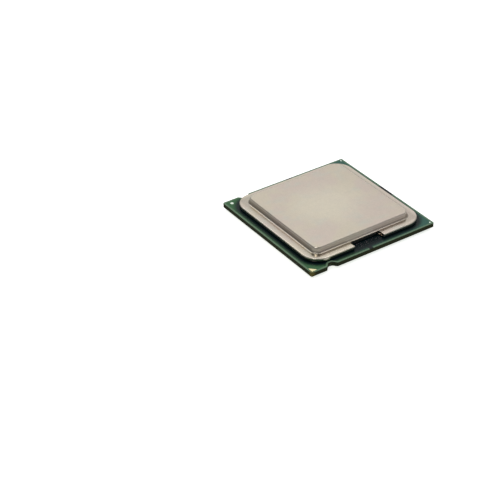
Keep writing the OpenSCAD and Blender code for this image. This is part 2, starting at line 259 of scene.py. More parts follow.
@dataclass(frozen=True)
class Finish:
    """A finish of the package. Its material is named after it, and slot is the record's."""

    name: str
    slot: str

    @cache
    def material(self) -> bpy.types.Material:
        """The finish's material, made once; the frame's own materials have other names.

        Returns:
            The material.
        """
        made = bpy.data.materials.new(f"{self.name}_finish")
        made.use_nodes = True
        self.shade(Graph(made.node_tree))
        return made

    def shade(self, g: Graph) -> None:
        """Builds the finish's nodes in g."""
        raise NotImplementedError


@dataclass(frozen=True)
class NickelPlate(Finish):
    """Nickel plate on stamped copper: blasted on top, drawn on the walls, bright on the flange.

    top, flange and foot are where the lid's faces lie, and rubbed is how far out the paler
    middle reaches. cloud to scratch are the sizes of its patterns, from large to small, and
    the pulls draw streaks and scratches out. cooled and paled are how strong the cool drift
    and the pale middle are, and wander is how far the middle's border strays.
    """

    top: float = 4.62
    flange: float = 3.12
    foot: float = 15.3
    rubbed: float = 13.0
    cloud: float = 7.0
    drift: float = 4.5
    patch: float = 1.3
    pepper: float = 0.28
    grain: float = 0.09
    streak: float = 0.05
    scratch: float = 0.03
    streak_pull: float = 0.02
    scratch_pull: float = 0.012
    cooled: float = 0.7
    paled: float = 0.8
    wander: float = 4.0
    # painted shade: how far the wall's foot and the flange beside the wall are darkened
    painted_foot_shade_depth: float = 0.24
    painted_flange_shade_depth: float = 0.22
    polish: float = 0.17
    blast: float = 0.26
    relief: float = 0.004
    warm: Colour = (0.635, 0.575, 0.475)
    pink: Colour = (0.63, 0.55, 0.485)
    cool: Colour = (0.58, 0.57, 0.505)
    pale: Colour = (0.70, 0.65, 0.54)

    def shade(self, g: Graph) -> None:
        """Colour drifts in clouds, paler in the middle; grain and streaks follow the work.

        Args:
            g: The graph of the material.
        """
        x, y, z = g.xyz
        blasted = z.step(self.top - 0.12, self.top - 0.01)
        low = z.step(self.flange + 0.06, self.flange)
        wall = (1 - blasted) * (1 - low)
        clouds, patches = g.noise(self.cloud, 2.0), g.noise(self.patch, 4.0)
        grain, pepper = g.noise(self.grain, 2.0), g.noise(self.pepper, 2.0)

        tint = g.mix(clouds.step(0.40, 0.62), self.warm, self.pink)
        cooler = g.noise(self.drift, 3.0, g.stretched(1, 1.4, 1)).step(0.46, 0.74)
        tint = g.mix(cooler * self.cooled, tint, self.cool)
        middle = (x.hypot(y) + self.wander * (clouds - 0.5)).step(self.rubbed, 2.0)
        tint = g.mix(middle * blasted * self.paled, tint, self.pale)

        speckle = (0.10 * (grain - 0.5) + 0.16 * (pepper - 0.5)) * blasted
        # painted shade: the wall darker by its foot, the flange darker by the wall that it mirrors
        foot_shade_share = z.step(self.flange + 1.0, self.flange + 0.1) * wall
        flange_shade_share = abs(x).most(abs(y)).step(self.foot + 1.3, self.foot) * low
        # dull is the painted shade laid on the wall's foot and on the flange beside the wall
        dull = foot_shade_share * self.painted_foot_shade_depth + flange_shade_share * self.painted_flange_shade_depth
        shade = (0.92 + 0.11 * patches + speckle) * (1 - dull) * (1 + 0.1 * (1 - blasted))

        streaks = g.noise(self.streak, 3.0, g.stretched(self.streak_pull, self.streak_pull, 1.0))
        lines = g.noise(self.scratch, 1.0, g.stretched(1.0, self.scratch_pull, 1.0))
        scratches = lines.step(0.70, 0.78) * blasted
        rough = self.polish + self.blast * blasted + (0.08 + 0.10 * streaks) * wall
        g.surface(
            Base_Color=g.scale(tint, shade),
            Metallic=1.0,
            Roughness=rough + 0.06 * (patches - 0.5) - 0.05 * scratches,
            Normal=g.bump(grain * blasted * 0.5 + streaks * wall + 0.3 * patches * low, self.relief),
        )


@dataclass(frozen=True)
class SolderMask(Finish):
    """Green mask over copper. Round the edge there is no copper below, and it looks paler;
    part of that pale rim is a painted highlight along the edge.

    The copper ends setback inside the outline, whose notches are arcs of notch_r about
    notch. cloud, fringe, dimple, dust and grain are the sizes of its patterns.
    """

    setback: float = 0.45
    notch: tuple[float, float] = (-12.55, 18.85)
    notch_r: float = 1.25
    cloud: float = 5.0
    fringe: float = 0.5
    dimple: float = 0.62
    dust: float = 0.5
    grain: float = 0.35
    dusted: float = 0.2
    roughness: float = 0.2
    gloss: float = 0.14
    relief: float = 0.003
    left: Colour = (0.08, 0.165, 0.11)
    right: Colour = (0.072, 0.155, 0.12)
    # rim colour: mask over bare resin, lightened further by a painted highlight along the edge
    over_resin_and_highlight: Colour = (0.11, 0.16, 0.08)
    speck: Colour = (0.30, 0.34, 0.32)

    def edge_distance(self, g: Graph) -> Value:
        """Distance inwards from the outline: its sides and its two notches.

        Args:
            g: The graph of the material.

        Returns:
            The distance in millimetres.
        """
        x, y, _ = g.xyz
        sides = HALF_SIDE - abs(x).most(abs(y))
        notches = (x - self.notch[0]).hypot(abs(y) - self.notch[1]) - self.notch_r
        return sides.least(notches)

    def painted_shade_and_flecks(self, g: Graph, colour: Value, ragged: Value) -> Value:
        """What lies over the plain green of this side; nothing unless a side has its own."""
        return colour

    def stained(self, g: Graph, colour: Value, ragged: Value) -> Value:
        """What lies over the rim as well; nothing unless a side has its own."""
        return colour

    def shade(self, g: Graph) -> None:
        """Cloudy green that drifts along X, a pale ragged rim, dust and a fine relief.

        Args:
            g: The graph of the material.
        """
        inside = self.edge_distance(g)
        ragged, clouds = g.noise(self.fringe, 4.0), g.noise(self.cloud, 3.0)
        across = (g.xyz[0] / HALF_SIDE * 0.5 + clouds).step(0.2, 0.8)
        colour = self.painted_shade_and_flecks(g, g.mix(across, self.left, self.right), ragged)
        # the pale rim: partly mask over bare resin, partly a painted highlight along the edge
        rim = inside.step(self.setback + 0.06, self.setback - 0.05)
        colour = g.mix(rim * (0.45 + 0.7 * ragged), colour, self.over_resin_and_highlight)
        colour = self.stained(g, colour, ragged)
        specks = g.cells(self.dust).step(0.045, 0.02)
        dimples = g.cells(self.dimple).step(0.16, 0.30)
        g.surface(
            Base_Color=g.mix(specks * self.dusted, colour, self.speck),
            Roughness=self.roughness + 0.25 * rim + 0.08 * ragged,
            Specular_IOR_Level=self.gloss,
            Normal=g.bump(dimples * 0.5 + g.noise(self.grain, 2.0) * 0.5, self.relief),
        )


@dataclass(frozen=True)
class OliveCorner:
    """The tint of the pin-one corner: full near the corner, gone reach from it."""

    colour: Colour = (0.17, 0.15, 0.03)
    full: float = 0.3
    reach: float = 1.5
    share: float = 0.8

    def over(self, g: Graph, colour: Value) -> Value:
        """Lays the tint over a colour.

        Args:
            g: The graph of the material.
            colour: The colour below.

        Returns:
            Both together.
        """
        x, y, _ = g.xyz
        near = (x + HALF_SIDE).hypot(y + HALF_SIDE).step(self.reach, self.full)
        return g.mix(near * self.share, colour, self.colour)


@dataclass(frozen=True)
class RubbedPatch:
    """A dark patch at an edge: its middle along the edge, and where it begins.

    It has faded away at half from its middle, and is full at full from it.
    """

    middle: float
    half: float
    full: float
    begin: float

    def share(self, along: Value, outwards: Value, ripple: Value) -> Value:
        """How much of the patch is at a point.

        Args:
            along: The point's coordinate along the edge.
            outwards: Its coordinate towards the edge.
            ripple: What frays the patch's ends.

        Returns:
            The share, from 0 to 1.
        """
        sideways = abs(along - self.middle + ripple)
        return sideways.step(self.half, self.full) * (outwards > self.begin)


@dataclass(frozen=True)
class UpperMask(SolderMask):
    """The mask round the lid: painted shade beside it, rubbed patches and an olive corner.

    film is the colour of painted shade beside the lid: the flange's shadow and dark reflection on
    the mask. It fades from painted_shade_full to painted_shade_end off the lid, and
    painted_shade_fray and patch_fray are how far the borders stray. bay is the half width, front
    and back of the lid's bay, which bares rows of flecks; stained_by and flecked_by say how
    strong stains and flecks are.
    """

    left: Colour = (0.05, 0.17, 0.065)
    right: Colour = (0.042, 0.15, 0.115)
    # rim colour: mask over bare resin with a painted highlight along the edge
    over_resin_and_highlight: Colour = (0.20, 0.32, 0.20)
    # film is painted shade: the flange's shadow and dark reflection on the mask beside the lid
    film: Colour = (0.0022, 0.012, 0.015)
    stain: Colour = (0.010, 0.010, 0.018)
    fleck: Colour = (0.42, 0.32, 0.36)
    painted_shade_full: float = 0.4
    painted_shade_end: float = 1.9
    painted_shade_fray: float = 0.6
    patch_fray: float = 0.5
    stained_by: float = 0.9
    flecked_by: float = 1.2
    fleck_size: float = 0.30
    row_pitch: float = TAU / 9
    flange: float = 17.0
    flange_r: float = 4.5
    bay: tuple[float, float, float] = (4.2, -16.9, -14.9)
    front: RubbedPatch = RubbedPatch(-0.75, 0.75, 0.4, 17.6)
    back: RubbedPatch = RubbedPatch(1.65, 1.2, 0.8, 17.9)
    side: RubbedPatch = RubbedPatch(-0.25, 2.9, 2.3, 17.9)

    def lid_distance(self, g: Graph) -> Value:
        """Distance outwards from the lid's edge, a rounded square.

        Args:
            g: The graph of the material.

        Returns:
            The distance in millimetres, negative under the lid.
        """
        x, y, _ = g.xyz
        reach = self.flange - self.flange_r
        return (abs(x) - reach).most(0.0).hypot((abs(y) - reach).most(0.0)) - self.flange_r

    def painted_shade_and_flecks(self, g: Graph, colour: Value, ragged: Value) -> Value:
        """Painted shade beside the lid, and pale flecks in rows where the lid's bay bares the mask.

        Args:
            g: The graph of the material.
            colour: The plain green.
            ragged: Fine noise that frays borders.

        Returns:
            The colour with both laid over it.
        """
        x, y, _ = g.xyz
        # painted shade: the mask darkens towards the lid, where the flange's shadow and reflection fall
        off_lid = self.lid_distance(g) + self.painted_shade_fray * (ragged - 0.5)
        beside = off_lid.step(self.painted_shade_end, self.painted_shade_full)
        width, front, back = self.bay
        inside = (abs(x) < width) * (y > front) * (y < back)
        rows = g.math("SINE", y * (TAU / self.row_pitch)).step(-0.2, 0.4)
        flecks = g.cells(self.fleck_size, g.stretched(1.0, 0.7, 1.0)).step(0.34, 0.16) * rows
        # lays the painted shade over the mask beside the lid
        colour = g.mix(beside, colour, self.film)
        return g.mix(flecks * inside * ragged * self.flecked_by, colour, self.fleck)

    def stained(self, g: Graph, colour: Value, ragged: Value) -> Value:
        """Dark rubbed patches at three edges, and the olive tint of the pin-one corner.

        Args:
            g: The graph of the material.
            colour: The mask's colour.
            ragged: Fine noise that frays borders.

        Returns:
            The colour with both laid over it.
        """
        x, y, _ = g.xyz
        ripple = self.patch_fray * (ragged - 0.5)
        rubbed = self.front.share(x, y * -1, ripple).most(self.back.share(x, y, ripple))
        rubbed = rubbed.most(self.side.share(y, x, ripple))
        return OliveCorner().over(g, g.mix(rubbed * self.stained_by, colour, self.stain))


@dataclass(frozen=True)
class Laminate(Finish):
    """Cut edge of a glass-cloth laminate: thin strata, with paler bundle ends in rows.

    The strata count from level, and each is shifted along by its number squared times
    shift, as a share of the bundles' spacing.
    """

    dark: Colour = (0.006, 0.011, 0.003)
    mid: Colour = (0.028, 0.044, 0.014)
    glass: Colour = (0.075, 0.060, 0.028)
    olive: Colour = (0.15, 0.13, 0.03)
    stratum: float = 0.11
    level: float = 0.97
    bundles_per_mm: float = 1.7
    shift: float = 0.37
    wear: float = 0.25
    gloss: float = 0.12
    relief: float = 0.02

    def shade(self, g: Graph) -> None:
        """Strata follow Z; bundle ends are short dashes along the edge in every stratum.

        Args:
            g: The graph of the material.
        """
        x, y, z = g.xyz
        phase = (z - self.level) / self.stratum
        layer = g.math("FLOOR", phase)
        seam = abs(phase - layer - 0.5).step(0.30, 0.48)
        run = (x + y) * self.bundles_per_mm + layer * layer * self.shift
        dashes = g.math("SINE", run * TAU).step(0.1, 0.7)
        worn = g.noise(self.wear, 4.0, g.stretched(1, 1, 3))
        colour = g.mix(worn.step(0.35, 0.7), self.dark, self.mid)
        colour = g.mix(dashes * (1 - seam) * worn, colour, self.glass)
        g.surface(
            Base_Color=OliveCorner(self.olive).over(g, colour),
            Roughness=0.62 + 0.25 * worn,
            Specular_IOR_Level=self.gloss,
            Normal=g.bump(0.6 * worn + 0.4 * seam, self.relief),
        )


@dataclass(frozen=True)
class Resin(Finish):
    """A filled resin: its colour drifts in clouds, and fine filler grains show."""

    colour: Colour
    drift: Colour
    filler: Colour
    grain: float = 0.06
    cloud: float = 1.5
    roughness: float = 0.5
    gloss: float = 0.2
    filled: float = 0.6
    relief: float = 0.004

    def shade(self, g: Graph) -> None:
        """Clouds between two colours, with round grains over them.

        Args:
            g: The graph of the material.
        """
        clouds, grains = g.noise(self.cloud, 3.0), g.cells(self.grain).step(0.32, 0.12)
        colour = g.mix(clouds.step(0.35, 0.65), self.colour, self.drift)
        g.surface(
            Base_Color=g.mix(grains * self.filled, colour, self.filler),
            Roughness=self.roughness + 0.2 * (clouds - 0.5),
            Specular_IOR_Level=self.gloss,
            Normal=g.bump(grains + clouds, self.relief),
        )


@dataclass(frozen=True)
class Metal(Finish):
    """A plated or reflowed metal: colour drifts in clouds, and small pits dull it."""

    colour: Colour
    drift: Colour
    tarnish: Colour = (0.35, 0.30, 0.25)
    roughness: float = 0.3
    grain: float = 0.08
    cloud: float = 0.9
    wear: float = 0.3
    relief: float = 0.003

    def shade(self, g: Graph) -> None:
        """Clouds between two colours, tarnish in the pits, and a fine grain.

        Args:
            g: The graph of the material.
        """
        clouds, grain = g.noise(self.cloud, 3.0), g.noise(self.grain, 2.0)
        pits = g.noise(self.grain * 3, 4.0).step(0.62, 0.74)
        colour = g.mix(clouds.step(0.35, 0.65), self.colour, self.drift)
        g.surface(
            Base_Color=g.mix(pits * self.wear, colour, self.tarnish),
            Metallic=1.0 - 0.35 * self.wear * pits,
            Roughness=self.roughness + 0.25 * pits * self.wear + 0.08 * (grain - 0.5),
            Normal=g.bump(grain - 0.6 * pits, self.relief),
        )


@dataclass(frozen=True)
class Ceramic(Finish):
    """Fired capacitor ceramic: speckled, with faint layers; its darker sides are painted shade."""

    face: Colour = (0.215, 0.180, 0.150)
    # side is painted shade: the colour given to faces that look sideways
    side: Colour = (0.070, 0.040, 0.032)
    speck: Colour = (0.30, 0.27, 0.24)
    cloud: float = 0.7
    speck_size: float = 0.07
    grain: float = 0.06
    layer: float = 0.03
    layer_pull: float = 0.05
    gloss: float = 0.4
    relief: float = 0.006

    def shade(self, g: Graph) -> None:
        """The faces that look up or down are paler than the sides, whose darker colour is painted shade.

        Args:
            g: The graph of the material.
        """
        _, _, facing = g.split(g.node("ShaderNodeNewGeometry", output="True Normal"))
        clouds = g.noise(self.cloud, 3.0)
        layers = g.noise(self.layer, 1.0, g.stretched(self.layer_pull, self.layer_pull, 1.0))
        # painted shade: faces that look sideways take the darker side colour
        colour = g.mix(abs(facing).step(0.3, 0.8), self.side, self.face)
        colour = g.mix(g.cells(self.speck_size).step(0.28, 0.1) * 0.5, colour, self.speck)
        g.surface(
            Base_Color=g.scale(colour, 0.8 + 0.4 * clouds + 0.15 * (layers - 0.5)),
            Roughness=0.42 + 0.2 * clouds,
            Specular_IOR_Level=self.gloss,
            Normal=g.bump(g.noise(self.grain, 3.0) + 0.5 * layers, self.relief),
        )


@dataclass(frozen=True)
class Silicon(Finish):
    """Back of a ground die: dark, mirror-bright, with arcs left by the grinding wheel."""

    colour: Colour = (0.20, 0.21, 0.24)
    drift: Colour = (0.26, 0.26, 0.29)
    wheel: tuple[float, float] = (60.0, -45.0)
    cloud: float = 3.0
    arc: float = 0.09
    relief: float = 0.001

    def shade(self, g: Graph) -> None:
        """Arcs are noise on the distance to the grinding wheel's centre.

        Args:
            g: The graph of the material.
        """
        x, y, z = g.xyz
        radius = (x - self.wheel[0]).hypot(y - self.wheel[1])
        arcs = g.noise(self.arc, 3.0, g.node("ShaderNodeCombineXYZ", None, {0: radius, 1: z, 2: 0.0}))
        g.surface(
            Base_Color=g.mix(g.noise(self.cloud, 2.0), self.colour, self.drift),
            Metallic=0.8,
            Roughness=0.1 + 0.2 * arcs,
            Normal=g.bump(arcs, self.relief),
        )


class Finishes(Enum):
    """Every finish that the package wears."""

    NICKEL = NickelPlate("nickel_plating", "nickel_plating")
    MASK_TOP = UpperMask("solder_mask_top", "solder_mask")
    MASK_BOTTOM = SolderMask("solder_mask_bottom", "solder_mask")
    LAMINATE = Laminate("core_laminate", "core_laminate")
    DIELECTRIC = Resin(
        "dielectric", "dielectric", (0.010, 0.012, 0.004), (0.022, 0.022, 0.008), (0.05, 0.045, 0.02)
    )
    UNDERFILL = Resin(
        "underfill", "underfill", (0.020, 0.017, 0.014), (0.03, 0.025, 0.02), (0.08, 0.07, 0.06), 0.05
    )
    VIA_RESIN = Resin(
        "via_resin", "via_resin", (0.28, 0.25, 0.18), (0.22, 0.19, 0.13), (0.4, 0.38, 0.3), 0.03
    )
    SEALANT = Resin(
        "sealant", "sealant", (0.012, 0.012, 0.013), (0.02, 0.02, 0.02), (0.05, 0.05, 0.05), 0.04
    )
    COPPER = Metal("copper", "copper", (0.80, 0.36, 0.20), (0.70, 0.30, 0.17), (0.30, 0.12, 0.08))
    GOLD = Metal(
        "gold_plating", "gold_plating", (0.82, 0.77, 0.47), (0.88, 0.78, 0.46), (0.55, 0.40, 0.16),
        roughness=0.24, wear=0.5,
    )
    DOT = Metal("alignment_dot", "gold_plating", (0.78, 0.88, 0.78), (0.70, 0.80, 0.70))
    SOLDER = Metal("solder", "solder", (0.86, 0.85, 0.82), (0.74, 0.73, 0.70), roughness=0.16)
    TERMINAL = Metal(
        "capacitor_terminal", "capacitor_terminal", (0.80, 0.77, 0.72), (0.66, 0.62, 0.57),
        roughness=0.34, wear=0.5,
    )
    COMPOUND = Metal(
        "thermal_compound", "thermal_compound", (0.42, 0.42, 0.44), (0.34, 0.34, 0.36),
        roughness=0.5, grain=0.05, relief=0.01,
    )
    CERAMIC = Ceramic("capacitor_ceramic", "capacitor_ceramic")
    SILICON = Silicon("silicon", "silicon")


# ---------------------------------------------------------------- surfaces


def ring(half_x: Size, half_y: Size, radius: Size, arc: int = 6, side: int = 1) -> np.ndarray:
    """Rounded rectangles, counter-clockwise from the +X +Y corner.

    A corner is its centre plus radius times (cos, sin) over a quarter turn; a side is the
    straight mix of the two corner ends that it joins.

    Args:
        half_x: Half sizes along X, one for each ring.
        half_y: Half sizes along Y.
        radius: Corner radii.
        arc: Steps in a corner.
        side: Steps in a side.

    Returns:
        Points of shape (rings, 4 * (arc + side), 2).
    """
    hx, hy, r = np.broadcast_arrays(*np.atleast_1d(half_x, half_y, radius))
    angle = (np.arange(4)[:, None] + np.linspace(0, 1, arc + 1)) * QUARTER
    signs = np.array([[1, 1], [-1, 1], [-1, -1], [1, -1]])
    centres = signs * np.stack([hx - r, hy - r], -1)[:, None]
    turned = np.stack([np.cos(angle), np.sin(angle)], -1)
    corners = centres[:, :, None] + r[:, None, None, None] * turned
    ends = np.roll(corners, -1, axis=1)[:, :, :1]
    share = np.linspace(0, 1, side + 1)[1:-1, None]
    sides = corners[:, :, -1:] + share * (ends - corners[:, :, -1:])
    return np.concatenate([corners, sides], 2).reshape(len(hx), -1, 2)


def lift(outlines: np.ndarray, levels: np.ndarray) -> np.ndarray:
    """Gives flat rings their heights.

    Args:
        outlines: Points of shape (rings, points, 2).
        levels: A height for each ring, or for each point of each ring.

    Returns:
        Points of shape (rings, points, 3).
    """
    heights = levels[:, None] if levels.ndim == 1 else levels
    return np.concatenate([outlines, np.broadcast_to(heights, outlines.shape[:2])[..., None]], -1)


def quarter_arc(radius: float, steps: int) -> tuple[np.ndarray, np.ndarray]:
    """A quarter circle that turns from a flat face into a wall.

    At an angle that grows from 0 to a quarter turn, it lies radius * (1 - sin) off the wall
    and radius * (1 - cos) off the face.

    Args:
        radius: Its radius.
        steps: Number of its steps.

    Returns:
        Distances off the wall and off the face.
    """
    turn = np.linspace(0, QUARTER, steps + 1)
    return radius * (1 - np.sin(turn)), radius * (1 - np.cos(turn))


def soft_edges(low: float, high: float, edge: float) -> tuple[np.ndarray, np.ndarray]:
    """Profile of a block's side whose two edges are quarter circles.

    Args:
        low: Level of its underside.
        high: Level of its top.
        edge: Radius of the edges.

    Returns:
        How far each ring lies inside the outline, and its level.
    """
    inset, rise = quarter_arc(edge, steps=3)
    return np.r_[inset, inset[::-1]], np.r_[low + rise, high - rise[::-1]]


def soft_block(box: np.ndarray, recess: np.ndarray, radius: float, edge: float) -> np.ndarray:
    """Rings of a block with round corners and soft edges that fills a box but for a recess.

    Args:
        box: Lowest and highest corner of the box.
        recess: How far the block stays inside it along X, Y and Z.
        radius: Radius of the upright corners.
        edge: Radius of the edges.

    Returns:
        Points of shape (rings, points, 3), centred in plan.
    """
    half_x, half_y, _ = (box[1] - box[0]) / 2 - recess
    inset, level = soft_edges(box[0, 2] + recess[2], box[1, 2] - recess[2], edge)
    return lift(ring(half_x - inset, half_y - inset, np.maximum(radius - inset, LEAST_R), 3), level)


def soft_polygon(corners: np.ndarray, radius: float, inset: np.ndarray, arc: int = 4) -> np.ndarray:
    """A convex polygon with round corners, moved inwards by each inset.

    The centre of a corner's arc lies on its bisector, (inset + radius) / sin(half its angle)
    from the corner; the arc runs between the outward normals of the two sides.

    Args:
        corners: The polygon's corners, counter-clockwise, of shape (corners, 2).
        radius: Radius of its corners.
        inset: One inset for each ring.
        arc: Steps in a corner.

    Returns:
        Points of shape (rings, corners * (arc + 1), 2).
    """
    after = np.roll(corners, -1, axis=0) - corners
    after /= np.linalg.norm(after, axis=1, keepdims=True)
    before = np.roll(after, 1, axis=0)
    bisector = after - before
    bisector /= np.linalg.norm(bisector, axis=1, keepdims=True)
    half = np.arccos(np.clip(-(after * before).sum(1), -1, 1)) / 2
    start = np.arctan2(-before[:, 0], before[:, 1])
    turn = start[:, None] + np.linspace(0, 1, arc + 1) * (math.pi - 2 * half)[:, None]
    radii = np.maximum(radius - inset, LEAST_R)[:, None, None]
    centres = corners + bisector * ((inset[:, None, None] + radii) / np.sin(half)[:, None])
    arcs = np.stack([np.cos(turn), np.sin(turn)], -1)
    return (centres[:, :, None] + radii[..., None] * arcs).reshape(len(inset), -1, 2)


def sweep(path: np.ndarray, across: np.ndarray, section: np.ndarray) -> np.ndarray:
    """Carries a section along a flat path.

    A point of the surface is the path's point plus the section's first number times the
    path's normal in its plane, plus its second number times the direction across.

    Args:
        path: Points of shape (stations, 3).
        across: Unit vector at right angles to the path's plane.
        section: Points of shape (points, 2), or (stations, points, 2).

    Returns:
        Rings of shape (stations, points, 3).
    """
    along = np.gradient(path, axis=0)
    along /= np.linalg.norm(along, axis=1, keepdims=True)
    normal = np.cross(along, across)[:, None]
    section = np.broadcast_to(section, (len(path), *section.shape[-2:]))
    return path[:, None] + section[..., :1] * normal + section[..., 1:] * across


class Shell:
    """Closed surfaces gathered as arrays and written as one mesh."""

    def __init__(self) -> None:
        """Starts empty."""
        self.points: list[np.ndarray] = []
        self.faces: list[list[int]] = []
        self.count = 0

    @staticmethod
    def volume(rings: np.ndarray) -> float:
        """Six times the volume inside a pile of rings.

        Each face adds the product of one corner with the cross products of the others.

        Args:
            rings: Points of shape (rings, points, 3).

        Returns:
            The volume, negative if the faces point inwards.
        """
        right, up = np.roll(rings[:-1], -1, axis=1), rings[1:]
        corner = np.roll(up, -1, axis=1)
        sides = (rings[:-1] * (np.cross(right, corner) + np.cross(corner, up))).sum()
        ends = rings[0, ::-1], rings[-1]
        return float(sides + sum((end[:1] * np.cross(end[1:-1], end[2:])).sum() for end in ends))

    def pile(self, rings: np.ndarray, places: Sequence[Sequence[float]] | None = None) -> "Shell":
        """Adds a surface of rings joined by quads, closed by a flat face at each end.

        Args:
            rings: Points of shape (rings, points, 3).
            places: X, Y and turn about Z in radians of each copy; one at the origin by default.

        Returns:
            This shell.
        """
        if self.volume(rings) < 0:
            rings = rings[:, ::-1]
        rows, columns = rings.shape[:2]
        index = np.arange(rows * columns).reshape(rows, columns)
        right = np.roll(index, -1, axis=1)
        quads = np.stack([index[:-1], right[:-1], right[1:], index[1:]], -1).reshape(-1, 4)
        copies = np.array([[0.0, 0.0, 0.0]] if places is None else places)
        x, y, turn = copies.T[:, :, None]
        flat = rings.reshape(-1, 3)
        cos, sin = np.cos(turn), np.sin(turn)
        moved = [flat[:, 0] * cos - flat[:, 1] * sin + x, flat[:, 0] * sin + flat[:, 1] * cos + y]
        moved.append(np.broadcast_to(flat[:, 2], moved[0].shape))
        self.points.append(np.stack(moved, -1).reshape(-1, 3))
        starts = self.count + np.arange(len(copies))[:, None, None] * rows * columns
        self.faces += (quads + starts).reshape(-1, 4).tolist()
        for cap in (index[0, ::-1], index[-1]):
            self.faces += (cap + starts[:, 0]).tolist()
        self.count += len(copies) * rows * columns
        return self

    def build(self, name: str, finish: Finishes, node: str, sharp: float = 40.0) -> None:
        """Writes the mesh, dresses it and puts it in a CAD node's place.

        Args:
            name: The piece's name.
            finish: What it wears.
            node: The CAD node that it stands for.
            sharp: Angle in degrees from which an edge stays sharp.
        """
        mesh = bpy.data.meshes.new(name)
        mesh.from_pydata((np.concatenate(self.points) * MM).tolist(), [], self.faces)
        mesh.polygons.foreach_set("use_smooth", np.ones(len(mesh.polygons), bool))
        mesh.set_sharp_from_angle(angle=math.radians(sharp))
        mesh.materials.append(finish.value.material())
        piece = bpy.data.objects.new(name, mesh)
        bpy.context.scene.collection.objects.link(piece)
        weighted = piece.modifiers.new("weighted_normals", "WEIGHTED_NORMAL")
        weighted.keep_sharp = True
        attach(piece, BODY)
        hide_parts(node)
        LOG.info("%s: %d faces, stands for %s", name, len(self.faces), node)


class Frame:
    """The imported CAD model: its nodes' meshes as boxes, in millimetres."""

    def __init__(self) -> None:
        """Loads the frame."""
        self.nodes: dict[str, bpy.types.Object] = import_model()["nodes"]

    def box(self, node: str) -> np.ndarray:
        """Lowest and highest corner of a node, of shape (2, 3)."""
        return np.array(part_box(node)) / MM

    def solids(self, node: str) -> np.ndarray:
        """Boxes of a node's separate solids.

        Corners at one place share a label. Each triangle hands its lowest label to its
        corners until nothing changes, so a label then stands for a solid.

        Args:
            node: The node's name.

        Returns:
            Lowest and highest corners, of shape (solids, 2, 3).
        """
        mesh = self.nodes[node].data
        corners = np.zeros(len(mesh.vertices) * 3, np.float32)
        mesh.vertices.foreach_get("co", corners)
        mesh.calc_loop_triangles()
        triangles = np.zeros(len(mesh.loop_triangles) * 3, np.int32)
        mesh.loop_triangles.foreach_get("vertices", triangles)
        rounded = np.round(corners.reshape(-1, 3) / MM, 4)
        places, merged = np.unique(rounded, axis=0, return_inverse=True)
        triangles = merged.reshape(-1)[triangles].reshape(-1, 3)
        labels, before = np.arange(len(places)), None
        while before is None or (labels != before).any():
            before = labels.copy()
            lowest = np.repeat(before[triangles].min(1), 3)
            np.minimum.at(labels, triangles.ravel(), lowest)
            labels = labels[labels]
        _, group = np.unique(labels, return_inverse=True)
        low = np.full((group.max() + 1, 3), np.inf)
        high = -low
        np.minimum.at(low, group, places)
        np.maximum.at(high, group, places)
        return np.stack([low, high], 1)


def turned_from(boxes: np.ndarray, owners: np.ndarray) -> tuple[np.ndarray, np.ndarray]:
    """Finds which owner each box belongs to and on which side of it the box lies.

    Args:
        boxes: Boxes of shape (n, 2, 3).
        owners: Boxes of shape (m, 2, 3).

    Returns:
        The nearest owner's number, and the direction from it in quarter turns, for each box.
    """
    middles, centres = boxes.mean(1)[:, None, :2], owners.mean(1)[None, :, :2]
    nearest = np.linalg.norm(middles - centres, axis=-1).argmin(1)
    away = middles[:, 0] - centres[0, nearest]
    sideways = np.abs(away[:, 1]) > np.abs(away[:, 0])
    quarter = np.where(sideways, 2 - np.sign(away[:, 1]), 1 - np.sign(away[:, 0]))
    return nearest, quarter.astype(int) % 4


# ---------------------------------------------------------------- the package


